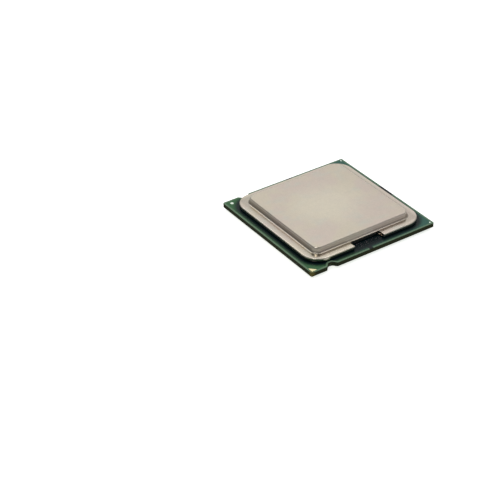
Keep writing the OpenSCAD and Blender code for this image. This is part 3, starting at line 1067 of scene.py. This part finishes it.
@dataclass
class HeatSpreader:
    """The stamped lid: one closed skin from the cavity's ceiling round to the raised top.

    The flange's upper edge rolls over with one radius all round, another at the bay's
    sides and a third at its back, where bay_web is what is left before the raised top's
    foot; bay_slack and mouth bound the stretch of the outline that is the bay's. spread is
    how far the points opposite the bay's sides are drawn apart. Flat faces are divided at
    ceiling_rings and top_rings in millimetres, and at shelf_shares of the way over the
    flange. steps are those of a side and of a corner; bay_steps those of a stretch beside
    the bay, a round corner of it, its side and its back.
    """

    frame: Frame
    flange_r: float = 4.5
    flange_t: float = 0.9
    plateau: float = 14.55
    plateau_r: float = 1.9
    edge_r: float = 0.4
    edge_drop: float = 0.65
    core_r: float = 0.25
    draft: float = 0.12
    foot_r: float = 0.35
    roll_r: float = 0.22
    side_roll_r: float = 0.4
    back_roll_r: float = 0.03
    burr_r: float = 0.06
    cavity: float = 12.75
    cavity_r: float = 3.0
    ceiling: float = 2.98
    ceiling_r: float = 0.25
    ceiling_round: float = 0.6
    wall_drop: float = 0.3
    bay: float = 4.4
    bay_web: float = 0.06
    bay_slack: float = 0.05
    mouth: float = 0.6
    spread: float = 1.0
    tip_r: float = 0.35
    throat_r: float = 0.5
    ceiling_rings: tuple[float, ...] = (0.5, 4.0, 9.0)
    top_rings: tuple[float, ...] = (0.06, 2.0, 6.0, 10.0, 13.0)
    shelf_shares: tuple[float, ...] = (0.06, 0.35, 0.7, 0.94)
    steps: tuple[int, int] = (26, 18)
    bay_steps: tuple[int, int, int, int] = (14, 7, 6, 16)

    def __post_init__(self) -> None:
        """Takes the outer size and the levels from the frame."""
        box = self.frame.box("heat_spreader")
        self.half, self.low, self.top = float(box[1, 0]), float(box[0, 2]), float(box[1, 2])
        self.flange = self.low + self.flange_t
        self.bay_back = self.plateau + self.foot_r + self.bay_web

    def outline(self) -> tuple[np.ndarray, np.ndarray]:
        """Edge of the flange with the bay in its -Y side, and its inward normals.

        Lines are straight mixes and corners are arcs. The normals are the path's own
        direction turned a quarter to the left.

        Returns:
            Points and normals, each of shape (points, 2).
        """
        side, arc = self.steps
        start, tip, deep, floor = self.bay_steps
        h, r, bay, t, q = self.half, self.flange_r, self.bay, self.tip_r, self.throat_r
        web = -self.bay_back

        def line(a: Sequence[float], b: Sequence[float], n: int) -> np.ndarray:
            """n points from a towards b, without b."""
            return np.array(a) + np.linspace(0, 1, n, endpoint=False)[:, None] * np.subtract(b, a)

        def bend(x: float, y: float, radius: float, a: float, b: float, n: int) -> np.ndarray:
            """n points round (x, y) from angle a towards b in quarter turns, without b."""
            turn = np.linspace(a, b, n, endpoint=False) * QUARTER
            return np.stack([x + radius * np.cos(turn), y + radius * np.sin(turn)], -1)

        k = h - r
        path = [
            line((h, -k), (h, k), side), bend(k, k, r, 0, 1, arc),
            line((k, h), (-k, h), side), bend(-k, k, r, 1, 2, arc),
            line((-h, k), (-h, -k), side), bend(-k, -k, r, 2, 3, arc),
            line((-k, -h), (-bay - t, -h), start), bend(-bay - t, t - h, t, 3, 4, tip),
            line((-bay, t - h), (-bay, web - q), deep), bend(q - bay, web - q, q, 2, 1, tip),
            line((q - bay, web), (bay - q, web), floor), bend(bay - q, web - q, q, 1, 0, tip),
            line((bay, web - q), (bay, t - h), deep), bend(bay + t, t - h, t, 2, 3, tip),
            line((bay + t, -h), (k, -h), start), bend(k, -k, r, 3, 4, arc),
        ]
        edge = np.concatenate(path)
        along = np.roll(edge, -1, axis=0) - np.roll(edge, 1, axis=0)
        along /= np.linalg.norm(along, axis=1, keepdims=True)
        return edge, np.stack([-along[:, 1], along[:, 0]], -1)

    def plain(self, half: np.ndarray, radius: np.ndarray) -> np.ndarray:
        """Rounded squares whose points match the outline's one for one.

        A side is the straight mix of its ends, and a corner is an arc. Opposite the bay the
        points are spread so that the strips to the outline stay even.

        Args:
            half: Half size of each ring.
            radius: Its corner radius.

        Returns:
            Points of shape (rings, points, 2).
        """
        side, arc = self.steps
        start, tip, deep, floor = self.bay_steps
        reach = self.plateau - self.plateau_r
        near, far = (self.bay + self.spread) / reach, (self.bay - self.spread) / reach
        bend = 2 * tip + deep
        ends, counts = (-1, -near, -far, far, near, 1), (start, bend, floor, bend, start)
        stretches = [np.linspace(a, b, n, endpoint=False) for a, b, n in zip(ends, ends[1:], counts)]
        station = np.concatenate(stretches)
        k, r = (half - radius)[:, None], radius[:, None]
        even = np.linspace(-1, 1, side, endpoint=False)
        turn = np.linspace(0, 1, arc, endpoint=False)
        xs, ys = [], []
        for quarter, share in enumerate((even, even, even, station)):
            cos, sin = round(math.cos(quarter * QUARTER)), round(math.sin(quarter * QUARTER))
            across, out = k * share, k + r
            angle = (quarter + turn) * QUARTER
            xs += [out * cos - across * sin, k * (cos - sin) + r * np.cos(angle)]
            ys += [out * sin + across * cos, k * (sin + cos) + r * np.sin(angle)]
        return np.stack([np.concatenate(xs, 1), np.concatenate(ys, 1)], -1)

    def inner_rings(self) -> np.ndarray:
        """Ceiling and wall of the cavity, from the ceiling's middle down.

        Returns:
            Points of shape (rings, points, 3).
        """
        inset, fall = quarter_arc(self.ceiling_r, steps=5)
        half = np.r_[self.ceiling_rings, self.cavity - inset, self.cavity, self.cavity]
        depth = self.ceiling - self.low - self.burr_r
        drop = np.r_[np.zeros(len(self.ceiling_rings)), fall, self.wall_drop, depth]
        radius = np.minimum(half * self.ceiling_round, self.cavity_r)
        return lift(self.plain(half, radius), self.ceiling - drop)

    def outer_rings(self) -> np.ndarray:
        """Underside of the flange, its edge, and the rolled corner up to the flange's top.

        The corner is a quarter circle whose radius changes along the outline: it is wider at
        the bay's sides and nearly nil at its back. A running mean blends the radii.

        Returns:
            Points of shape (rings, points, 3).
        """
        edge, inward = self.outline()
        x, y = edge.T
        in_bay = (np.abs(x) < self.bay + self.bay_slack) & (y < 0) & (y > -self.half + self.mouth)
        at_back = in_bay & (y > -self.bay_back - self.throat_r)
        roll = np.where(at_back, self.back_roll_r, np.where(in_bay, self.side_roll_r, self.roll_r))
        around = 3
        kernel = np.ones(2 * around + 1) / (2 * around + 1)
        roll = np.convolve(np.r_[roll[-around:], roll, roll[:around]], kernel, "valid")
        burr = self.burr_r * np.ones(len(roll))
        burr_in, burr_up = (part[:, None] * burr for part in quarter_arc(1.0, steps=3))
        roll_down, roll_in = (part[:, None] * roll for part in quarter_arc(1.0, steps=7))
        inset = np.concatenate([burr_in, roll_in])
        level = np.concatenate([self.low + burr_up, self.flange - roll_down])
        return lift(edge + inset[..., None] * inward, level)

    def raised_rings(self) -> np.ndarray:
        """The raised top: fillet at its foot, drawn wall, elliptic edge and flat face.

        Returns:
            Points of shape (rings, points, 3).
        """
        foot_out, foot_up = quarter_arc(self.foot_r, steps=6)
        wall_low, wall_high = self.flange + self.foot_r, self.top - self.edge_drop
        rise = np.linspace(0, 1, 5)[1:-1]
        down, over = quarter_arc(1.0, steps=9)
        slim = self.plateau - self.draft
        flat = slim - self.edge_r - np.array(self.top_rings)
        half = np.r_[
            self.plateau + foot_out, self.plateau - self.draft * rise, slim - self.edge_r * over, flat
        ]
        level = np.r_[
            self.flange + foot_up,
            wall_low + rise * (wall_high - wall_low),
            self.top - self.edge_drop * down,
            np.full(len(flat), self.top),
        ]
        radius = np.maximum(self.plateau_r + (half - self.plateau), self.core_r)
        return lift(self.plain(half, radius), level)

    def build(self) -> None:
        """Joins the parts of the skin into the lid; straight mixes cover the flange."""
        outer, raised = self.outer_rings(), self.raised_rings()
        share = np.array(self.shelf_shares)[:, None, None]
        shelf = outer[-1] + share * (raised[0] - outer[-1])
        rings = np.concatenate([self.inner_rings(), outer, shelf, raised])
        Shell().pile(rings).build("lid_skin", Finishes.NICKEL, "heat_spreader", sharp=60)


@dataclass
class SealantBead:
    """The cured bead under the flange, open at the vent by the bay.

    vent is how far the loop's start lies from the middle, gap how much nearer to the
    middle the bead ends, end how long its rounded ends are, and blunt the least square of
    their share of the width. waves are the size, pitch in radians a millimetre and phase of
    the swelling of its width.
    """

    frame: Frame
    half: float = 14.875
    corner_r: float = 4.2
    width: float = 3.35
    bulge: float = 0.12
    vent: float = 4.9
    gap: float = 0.3
    end: float = 1.2
    blunt: float = 0.04
    waves: tuple[tuple[float, float, float], ...] = (
        (0.012, 1.9, 0.0), (0.018, 0.61, 1.0), (0.008, 4.3, 0.0)
    )

    def build(self) -> None:
        """Carries a bulging section along a rounded square.

        The width swells and shrinks with a few sine waves of the distance run, and rounds
        off at each end like an ellipse.
        """
        low, high = self.frame.box("lid_sealant")[:, 2]
        loop = ring(self.half, self.half, self.corner_r, arc=16, side=24)[0]
        start = int(np.argmin(np.hypot(loop[:, 0] - self.vent, loop[:, 1] + self.half)))
        loop = np.roll(loop, -start, axis=0)
        outside = (np.abs(loop[:, 0]) > self.vent - self.gap) | (loop[:, 1] > 0)
        path = np.c_[loop[outside], np.full(outside.sum(), (low + high) / 2)]
        run = np.r_[0, np.cumsum(np.linalg.norm(np.diff(path, axis=0), axis=1))]
        ends = np.minimum(np.minimum(run, run[-1] - run) / self.end, 1)
        fade = np.sqrt(np.maximum(1 - (1 - ends) ** 2, self.blunt))
        sway = 1 + sum(size * np.sin(run * pitch + phase) for size, pitch, phase in self.waves)
        half = (self.width / 2 - self.bulge) * fade * np.minimum(sway, 1 + self.bulge / self.width)
        turn = np.linspace(-QUARTER, QUARTER, 7)
        right = np.stack([self.bulge * np.cos(turn), (high - low) / 2 * np.sin(turn)], -1)
        section = np.repeat(np.concatenate([right, -right])[None], len(path), axis=0)
        section[..., 0] += np.repeat([1.0, -1.0], len(turn)) * half[:, None]
        rings = sweep(path, np.array([0.0, 0.0, 1.0]), section)
        Shell().pile(rings).build("sealant_bead", Finishes.SEALANT, "lid_sealant")


@dataclass
class Lands:
    """The round lands: plated pads with rolled rims and a shallow dish.

    The rim curves in over the two widths of rim, past a shoulder and a lip of these
    heights; the dish reaches dish_share of the way out.
    """

    frame: Frame
    rim: tuple[float, float] = (0.014, 0.056)
    shoulder: float = 0.014
    lip: float = 0.003
    dish: float = 0.006
    dish_share: float = 0.55
    segments: int = 4

    def build(self) -> None:
        """Copies one land, a pile of circles, to every place that the frame gives."""
        boxes = self.frame.solids("land_contacts")
        low, high = boxes[0, :, 2]
        radius = (boxes[0, 1, 0] - boxes[0, 0, 0]) / 2
        radii = radius - np.array([0, 0, *self.rim, radius * (1 - self.dish_share)])
        levels = np.array([high, low + self.shoulder, low + self.lip, low, low + self.dish])
        rings = lift(ring(radii, radii, radii, self.segments), levels)
        places = [[*middle[:2], 0.0] for middle in boxes.mean(1)]
        Shell().pile(rings, places).build("round_lands", Finishes.GOLD, "land_contacts")


@dataclass(frozen=True)
class Fillet:
    """A solder joint under a terminal, with a hollow fillet in front of the terminal's face.

    The fillet reaches this far out, has shrunk by waist at both sides of the terminal, and
    ends in a foot this thick.
    """

    waist: float
    reach: float = 0.2
    foot: float = 0.01

    def rings(self, end: float, size: np.ndarray, levels: np.ndarray) -> np.ndarray:
        """The joint's outlines across its width.

        The fillet's face is a quarter of an ellipse centred at its outer foot, and it
        shrinks with the cube of the distance from the middle.

        Args:
            end: X of the terminal's outer face.
            size: Length and width of the joint.
            levels: How low the fillet climbs, the terminal's inner side, and the mask.

        Returns:
            Points of shape (rings, points, 3).
        """
        low, inner, high = levels
        side = np.linspace(-1, 1, 5)
        shrink = (1 - self.waist * np.abs(side) ** 3)[:, None]
        along, out = quarter_arc(1.0, steps=5)
        base = high - self.foot
        face_x = end + self.reach * shrink * out
        face_z = base - (base - low) * shrink * along
        one = np.ones((len(side), 1))
        back, face = (end - size[0] + self.reach) * one, end * one
        x = np.concatenate([back, back, face, face_x, face_x[:, -1:]], 1)
        z = np.concatenate([high * one, inner * one, inner * one, face_z, high * one], 1)
        y = np.broadcast_to(side[:, None] * size[1] / 2, x.shape)
        return np.stack([x, y, z], -1)


@dataclass
class LargeCapacitors:
    """The ceramic blocks, their finger terminals and the solder that holds them."""

    frame: Frame
    count: int = 19
    recess: float = 0.022
    corner_r: float = 0.06
    edge: float = 0.05
    finger_t: float = 0.045
    finger_edge: float = 0.012
    bend_r: float = 0.07
    length: float = 1.4
    fillet: Fillet = Fillet(0.24)

    def __post_init__(self) -> None:
        """Reads where the bodies and fingers are."""
        self.names = [f"capacitor_body_{k + 1}" for k in range(self.count)]
        self.bodies = np.stack([self.frame.box(name) for name in self.names])
        self.fingers = self.frame.solids("capacitor_terminals")

    def build_bodies(self) -> None:
        """Each ceramic is a block with soft edges, a little inside the fingers' faces."""
        for number, (name, box) in enumerate(zip(self.names, self.bodies), 1):
            rings = soft_block(box, np.array([0, 0, self.recess]), self.corner_r, self.edge)
            shell = Shell().pile(rings, [[*box.mean(0)[:2], 0.0]])
            shell.build(f"ceramic_block_{number}", Finishes.CERAMIC, name)

    def finger_places(self) -> np.ndarray:
        """Finds the middle line of each finger's body, level with the finger.

        Returns:
            X, Y and turn about Z for every finger.
        """
        nearest, _ = turned_from(self.fingers, self.bodies)
        middle, places = self.bodies.mean(1)[nearest], self.fingers.mean(1)
        turn = np.where(middle[:, 0] < places[:, 0], 0, TAU / 2)
        return np.c_[middle[:, 0], places[:, 1], turn]

    def build_fingers(self) -> None:
        """A finger is a flat strip carried round the end of the ceramic in a C."""
        low, high = self.fingers[0, :, 2]
        wrap, width, _ = self.fingers[0, 1] - self.fingers[0, 0]
        depth = self.finger_t / 2
        end = self.length / 2 - depth
        short, rise = quarter_arc(self.bend_r, steps=3)
        x = np.r_[end + depth - wrap, end - short]
        z = np.r_[0, rise] + low + depth
        c_shape = np.r_[np.c_[x, z], np.c_[x, low + high - z][::-1]]
        path = np.c_[c_shape[:, 0], np.zeros(len(c_shape)), c_shape[:, 1]]
        section = ring(depth, width / 2, self.finger_edge, 1, 1)[0]
        rings = sweep(path, np.array([0.0, 1.0, 0.0]), section)
        shell = Shell().pile(rings, self.finger_places())
        shell.build("capacitor_fingers", Finishes.TERMINAL, "capacitor_terminals")

    def build_solder(self) -> None:
        """A joint fills the gap over a finger and hangs from it in a hollow fillet."""
        low, high = self.frame.solids("capacitor_solder")[0]
        finger_top = self.frame.box("capacitor_terminals")[1, 2]
        levels = np.array([low[2], finger_top, high[2]])
        rings = self.fillet.rings(self.length / 2, (high - low)[:2], levels)
        shell = Shell().pile(rings, self.finger_places())
        shell.build("capacitor_joints", Finishes.SOLDER, "capacitor_solder")


@dataclass
class ChipCapacitors:
    """The two-terminal chips round the large capacitors.

    skin is the thickness of an end cap, cap_bend the radius of its domed end, and lip and
    lip_step how far its mouth's rim is rounded along the chip and across it. The cap's
    inner and outer faces close in by mouth_share and end_share of its half height.
    """

    frame: Frame
    skin: float = 0.03
    edge: float = 0.05
    recess: float = 0.02
    cap_bend: float = 0.07
    cap_r: float = 0.06
    cap_end: float = 0.01
    mouth_share: float = 0.8
    end_share: float = 0.6
    lip: float = 0.012
    lip_step: float = 0.008
    joint_t: float = 0.05
    fillet: Fillet = Fillet(0.3)

    def __post_init__(self) -> None:
        """Reads the chips' boxes."""
        self.bodies = self.frame.solids("chip_bodies")

    def build_bodies(self) -> None:
        """Each ceramic is a block with soft edges that runs into both end caps."""
        shell = Shell()
        for box in self.bodies:
            x, y, _ = box[1] - box[0]
            rings = soft_block(box, self.recess * np.array([x < y, y < x, True]), self.edge, self.edge)
            shell.pile(rings, [[*box.mean(0)[:2], 0.0]])
        shell.build("chip_ceramics", Finishes.CERAMIC, "chip_bodies")

    def ends(self, node: str) -> list[tuple[np.ndarray, np.ndarray, list[float]]]:
        """Looks along each chip at the solids of a node.

        Args:
            node: The node's name.

        Returns:
            Each solid's box, its length along the chip and width across it, and its place.
        """
        boxes = self.frame.solids(node)
        _, quarters = turned_from(boxes, self.bodies)
        sizes = (boxes[:, 1] - boxes[:, 0])[:, :2]
        return [
            (box, size[::-1] if quarter % 2 else size, [*box.mean(0)[:2], quarter * QUARTER])
            for box, size, quarter in zip(boxes, sizes, quarters)
        ]

    def build_caps(self) -> None:
        """Each end cap is a cup: out of its mouth, over the rim and round the domed end."""
        shell = Shell()
        lip, skin = self.lip, self.skin
        for box, (wrap, width), place in self.ends("chip_terminals"):
            half_h = (box[1, 2] - box[0, 2]) / 2
            short, drop = quarter_arc(self.cap_bend, steps=4)
            bend = wrap - self.cap_end
            mouth, end = half_h * self.mouth_share, half_h * self.end_share
            inset = np.r_[mouth, skin, skin, self.lip_step, 0, 0, drop, end]
            x = np.r_[wrap - skin, wrap - skin, lip, 0, lip, bend - self.cap_bend, bend - short, wrap]
            flat = ring(width / 2 - inset, half_h - inset, np.maximum(self.cap_r - inset, 0.01), 3)
            across, up = flat[..., 0], flat[..., 1] + box[:, 2].mean()
            out = np.broadcast_to((x - wrap / 2)[:, None], across.shape)
            shell.pile(np.stack([out, across, up], -1), [place])
        shell.build("chip_end_caps", Finishes.TERMINAL, "chip_terminals")

    def build_solder(self) -> None:
        """A joint under each end cap, with its hollow fillet."""
        shell = Shell()
        for box, size, place in self.ends("chip_solder"):
            low, high = box[:, 2]
            end = size[0] / 2 - self.fillet.reach
            levels = np.array([low, high - self.joint_t, high])
            shell.pile(self.fillet.rings(end, size, levels), [place])
        shell.build("chip_joints", Finishes.SOLDER, "chip_solder")


@dataclass
class Marks:
    """Bare metal that shows in the mask's openings: triangles, dots, test pads, spare pads.

    edge is the radius of their rims, corner_r that of a triangle's corners and pad_r that
    of a spare pad's, which shrinks to core_r in the middle. Its solder slopes in over
    cushion, from a rim as thick as film.
    """

    frame: Frame
    edge: float = 0.008
    corner_r: float = 0.12
    pad_r: float = 0.14
    cushion: float = 0.3
    film: float = 0.008
    core_r: float = 0.03

    def build_triangle(self, name: str, node: str) -> None:
        """A right triangle with soft corners, its square corner at the box's lowest one.

        Args:
            name: The piece's name.
            node: The CAD node that it stands for.
        """
        box = self.frame.box(node)
        leg = box[1, 0] - box[0, 0]
        corners = box[0, :2] + np.array([[0.0, 0.0], [leg, 0.0], [0.0, leg]])
        inset, level = soft_edges(box[0, 2], box[1, 2], self.edge)
        rings = lift(soft_polygon(corners, self.corner_r, inset), level)
        Shell().pile(rings).build(name, Finishes.GOLD, node)

    def build_discs(self, name: str, node: str, finish: Finishes) -> None:
        """Round pads with soft rims, one in each of the node's places.

        Args:
            name: The piece's name.
            node: The CAD node that it stands for.
            finish: What it wears.
        """
        shell = Shell()
        for box in self.frame.solids(node):
            inset, level = soft_edges(box[0, 2], box[1, 2], self.edge)
            radii = (box[1, 0] - box[0, 0]) / 2 - inset
            shell.pile(lift(ring(radii, radii, radii, 8), level), [[*box.mean(0)[:2], 0.0]])
        shell.build(name, finish, node)

    def build_spare_pads(self) -> None:
        """Tinned pads, their solder drawn into a low cushion whose slope is a quarter ellipse."""
        shell = Shell()
        for box in self.frame.solids("spare_site_pads"):
            half_x, half_y, _ = (box[1] - box[0]) / 2
            left, out = quarter_arc(1.0, steps=5)
            inset = np.r_[0, self.cushion * out]
            thick = box[1, 2] - box[0, 2]
            level = box[1, 2] - np.r_[0, self.film + (thick - self.film) * (1 - left)]
            radius = np.maximum(self.pad_r - inset, self.core_r)
            rings = lift(ring(half_x - inset, half_y - inset, radius, 4), level)
            shell.pile(rings, [[*box.mean(0)[:2], 0.0]])
        shell.build("tinned_spare_pads", Finishes.SOLDER, "spare_site_pads")


WORN = {
    Finishes.MASK_TOP: "solder_mask_top",
    Finishes.MASK_BOTTOM: "solder_mask_bottom",
    Finishes.COPPER: "copper_top copper_bottom inner_copper_top inner_copper_bottom core_vias",
    Finishes.DIELECTRIC: (
        "dielectric_top dielectric_bottom inner_dielectric_top inner_dielectric_bottom"
    ),
    Finishes.LAMINATE: "core_laminate",
    Finishes.VIA_RESIN: "via_plugs",
    Finishes.SILICON: "silicon_die",
    Finishes.COMPOUND: "thermal_interface",
    Finishes.UNDERFILL: "die_underfill",
    Finishes.SOLDER: "die_bumps",
}


@dataclass
class Laminates:
    """The CAD nodes whose shape is right as it is; they take a finish."""

    frame: Frame

    def dress(self) -> None:
        """Puts each node's finish in its material slot."""
        for finish, names in WORN.items():
            for name in names.split():
                node = self.frame.nodes[name]
                node.data.materials.clear()
                node.data.materials.append(finish.value.material())
                LOG.info("%s: CAD node, wears %s", name, finish.value.name)


# ---------------------------------------------------------------- studio


@dataclass(frozen=True)
class Softbox:
    """A square soft light: where it stands, its side, and its radiance."""

    name: str
    place: tuple[float, float, float]
    side: float
    radiance: float
    colour: Colour = (1.0, 1.0, 1.0)

    def build(self) -> None:
        """Turns the light to the origin; its power is radiance times pi times its area."""
        data = bpy.data.lights.new(self.name, "AREA")
        data.size = self.side * MM
        data.energy = self.radiance * math.pi * (self.side * MM) ** 2
        data.color = self.colour
        light = bpy.data.objects.new(self.name, data)
        light.location = Vector(self.place) * MM
        light.rotation_euler = (-Vector(self.place)).to_track_quat("-Z", "Y").to_euler()
        bpy.context.scene.collection.objects.link(light)


@dataclass
class Studio:
    """Camera, pale floor, soft lights and the room's light.

    The room is room_left bright at the -X -Y side and room_right bright opposite; room_turn
    says between which values of a direction's X plus half its Y the one becomes the other.
    Below the level it is room_below bright, fully so where a direction's Z is at horizon.
    """

    camera: tuple[float, float, float] = (-198.43, -255.57, 211.22)
    target: tuple[float, float, float] = (-23.49, -0.09, 0.0)
    roll: float = -0.416
    lens: float = 111.32
    sensor: float = 36.0
    clip: tuple[float, float] = (10.0, 20000.0)
    paper: tuple[Colour, Colour] = ((0.93, 0.93, 0.92), (0.95, 0.95, 0.95))
    paper_cloud: float = 40.0
    floor_half: float = 3000.0
    floor_gap: float = 0.03
    floor_glow: float = 0.75
    room_left: float = 0.18
    room_right: float = 0.43
    room_below: float = 0.6
    room_turn: tuple[float, float] = (-0.6, 0.5)
    horizon: float = -0.06
    boxes: tuple[Softbox, ...] = (
        Softbox("key_box", (240.0, 350.0, 300.0), 420.0, 0.40, (1.0, 0.985, 0.95)),
        Softbox("top_box", (70.0, 250.0, 545.0), 520.0, 0.7),
        Softbox("near_box", (-330.0, -200.0, 440.0), 170.0, 6.0),
        Softbox("back_strip", (-120.0, 408.0, 420.0), 160.0, 0.9),
        Softbox("side_strip", (280.0, 0.0, 530.0), 160.0, 2.0),
        Softbox("under_box", (-250.0, -220.0, -400.0), 300.0, 1.0),
    )

    def build_camera(self) -> None:
        """Aims the camera at the target and rolls it about its own axis."""
        data = bpy.data.cameras.new("camera")
        data.lens, data.sensor_width = self.lens, self.sensor
        data.clip_start, data.clip_end = (distance * MM for distance in self.clip)
        camera = bpy.data.objects.new("camera", data)
        away = Vector(self.camera) - Vector(self.target)
        turn = away.to_track_quat("Z", "Y").to_matrix().to_4x4()
        roll = Matrix.Rotation(math.radians(self.roll), 4, "Z")
        camera.matrix_world = Matrix.Translation(Vector(self.camera) * MM) @ turn @ roll
        bpy.context.scene.collection.objects.link(camera)
        bpy.context.scene.camera = camera

    def build_floor(self) -> None:
        """A pale sheet, see-through from below, that neither lights nor shades the package."""
        half = self.floor_half
        corners = [(-half, -half), (half, -half), (half, half), (-half, half)]
        mesh = bpy.data.meshes.new("floor")
        mesh.from_pydata([(x * MM, y * MM, -self.floor_gap * MM) for x, y in corners], [], [(0, 1, 2, 3)])
        material = bpy.data.materials.new("floor")
        material.use_nodes = True
        g = Graph(material.node_tree)
        paper = g.mix(g.noise(self.paper_cloud, 2.0), *self.paper)
        sheet = {"Base Color": paper, "Roughness": 0.9, "Emission Color": paper}
        front = g.node("ShaderNodeBsdfPrincipled", None, {**sheet, "Emission Strength": self.floor_glow})
        clear = g.node("ShaderNodeBsdfTransparent")
        behind = g.node("ShaderNodeNewGeometry", output="Backfacing")
        both = g.node("ShaderNodeMixShader", None, {0: behind, 1: front, 2: clear})
        g.node("ShaderNodeOutputMaterial", None, {0: both})
        mesh.materials.append(material)
        floor = bpy.data.objects.new("floor", mesh)
        floor.visible_diffuse = floor.visible_glossy = floor.visible_shadow = False
        bpy.context.scene.collection.objects.link(floor)

    def build_room(self) -> None:
        """Light from all round: dim at the -X -Y side, brighter opposite and from the floor."""
        world = bpy.data.worlds.new("room")
        world.use_nodes = True
        bpy.context.scene.world = world
        g = Graph(world.node_tree)
        toward = g.node("ShaderNodeTexCoord", output="Generated")
        right, back, up = g.split(toward)
        side = (right + 0.5 * back).step(*self.room_turn)
        above = self.room_left + (self.room_right - self.room_left) * side
        below = up.step(0.0, self.horizon)
        light = above * (1 - below) + self.room_below * below
        seen = g.node("ShaderNodeLightPath", output="Is Camera Ray")
        strength = light * (1 - seen) + seen
        shade = g.node("ShaderNodeBackground", None, {"Color": (1.0, 1.0, 1.0), "Strength": strength})
        g.node("ShaderNodeOutputWorld", None, {0: shade})

    def build(self) -> None:
        """Sets the whole studio up."""
        self.build_camera()
        self.build_floor()
        self.build_room()
        for box in self.boxes:
            box.build()
        bpy.context.scene.view_settings.view_transform = "Standard"


def main() -> None:
    frame = Frame()
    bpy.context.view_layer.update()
    Studio().build()
    HeatSpreader(frame).build()
    SealantBead(frame).build()
    Lands(frame).build()
    large = LargeCapacitors(frame)
    large.build_bodies()
    large.build_fingers()
    large.build_solder()
    chips = ChipCapacitors(frame)
    chips.build_bodies()
    chips.build_caps()
    chips.build_solder()
    marks = Marks(frame)
    marks.build_triangle("pin_one_triangle_top", "pin_one_mark_top")
    marks.build_triangle("pin_one_triangle_bottom", "pin_one_mark_bottom")
    marks.build_discs("round_dots_top", "alignment_dots_top", Finishes.DOT)
    marks.build_discs("round_dots_bottom", "alignment_dots_bottom", Finishes.DOT)
    marks.build_discs("round_test_pads", "test_pads", Finishes.GOLD)
    marks.build_spare_pads()
    Laminates(frame).dress()


if __name__ == "__main__":
    logging.basicConfig(level=logging.INFO, format="%(name)s: %(message)s")
    main()
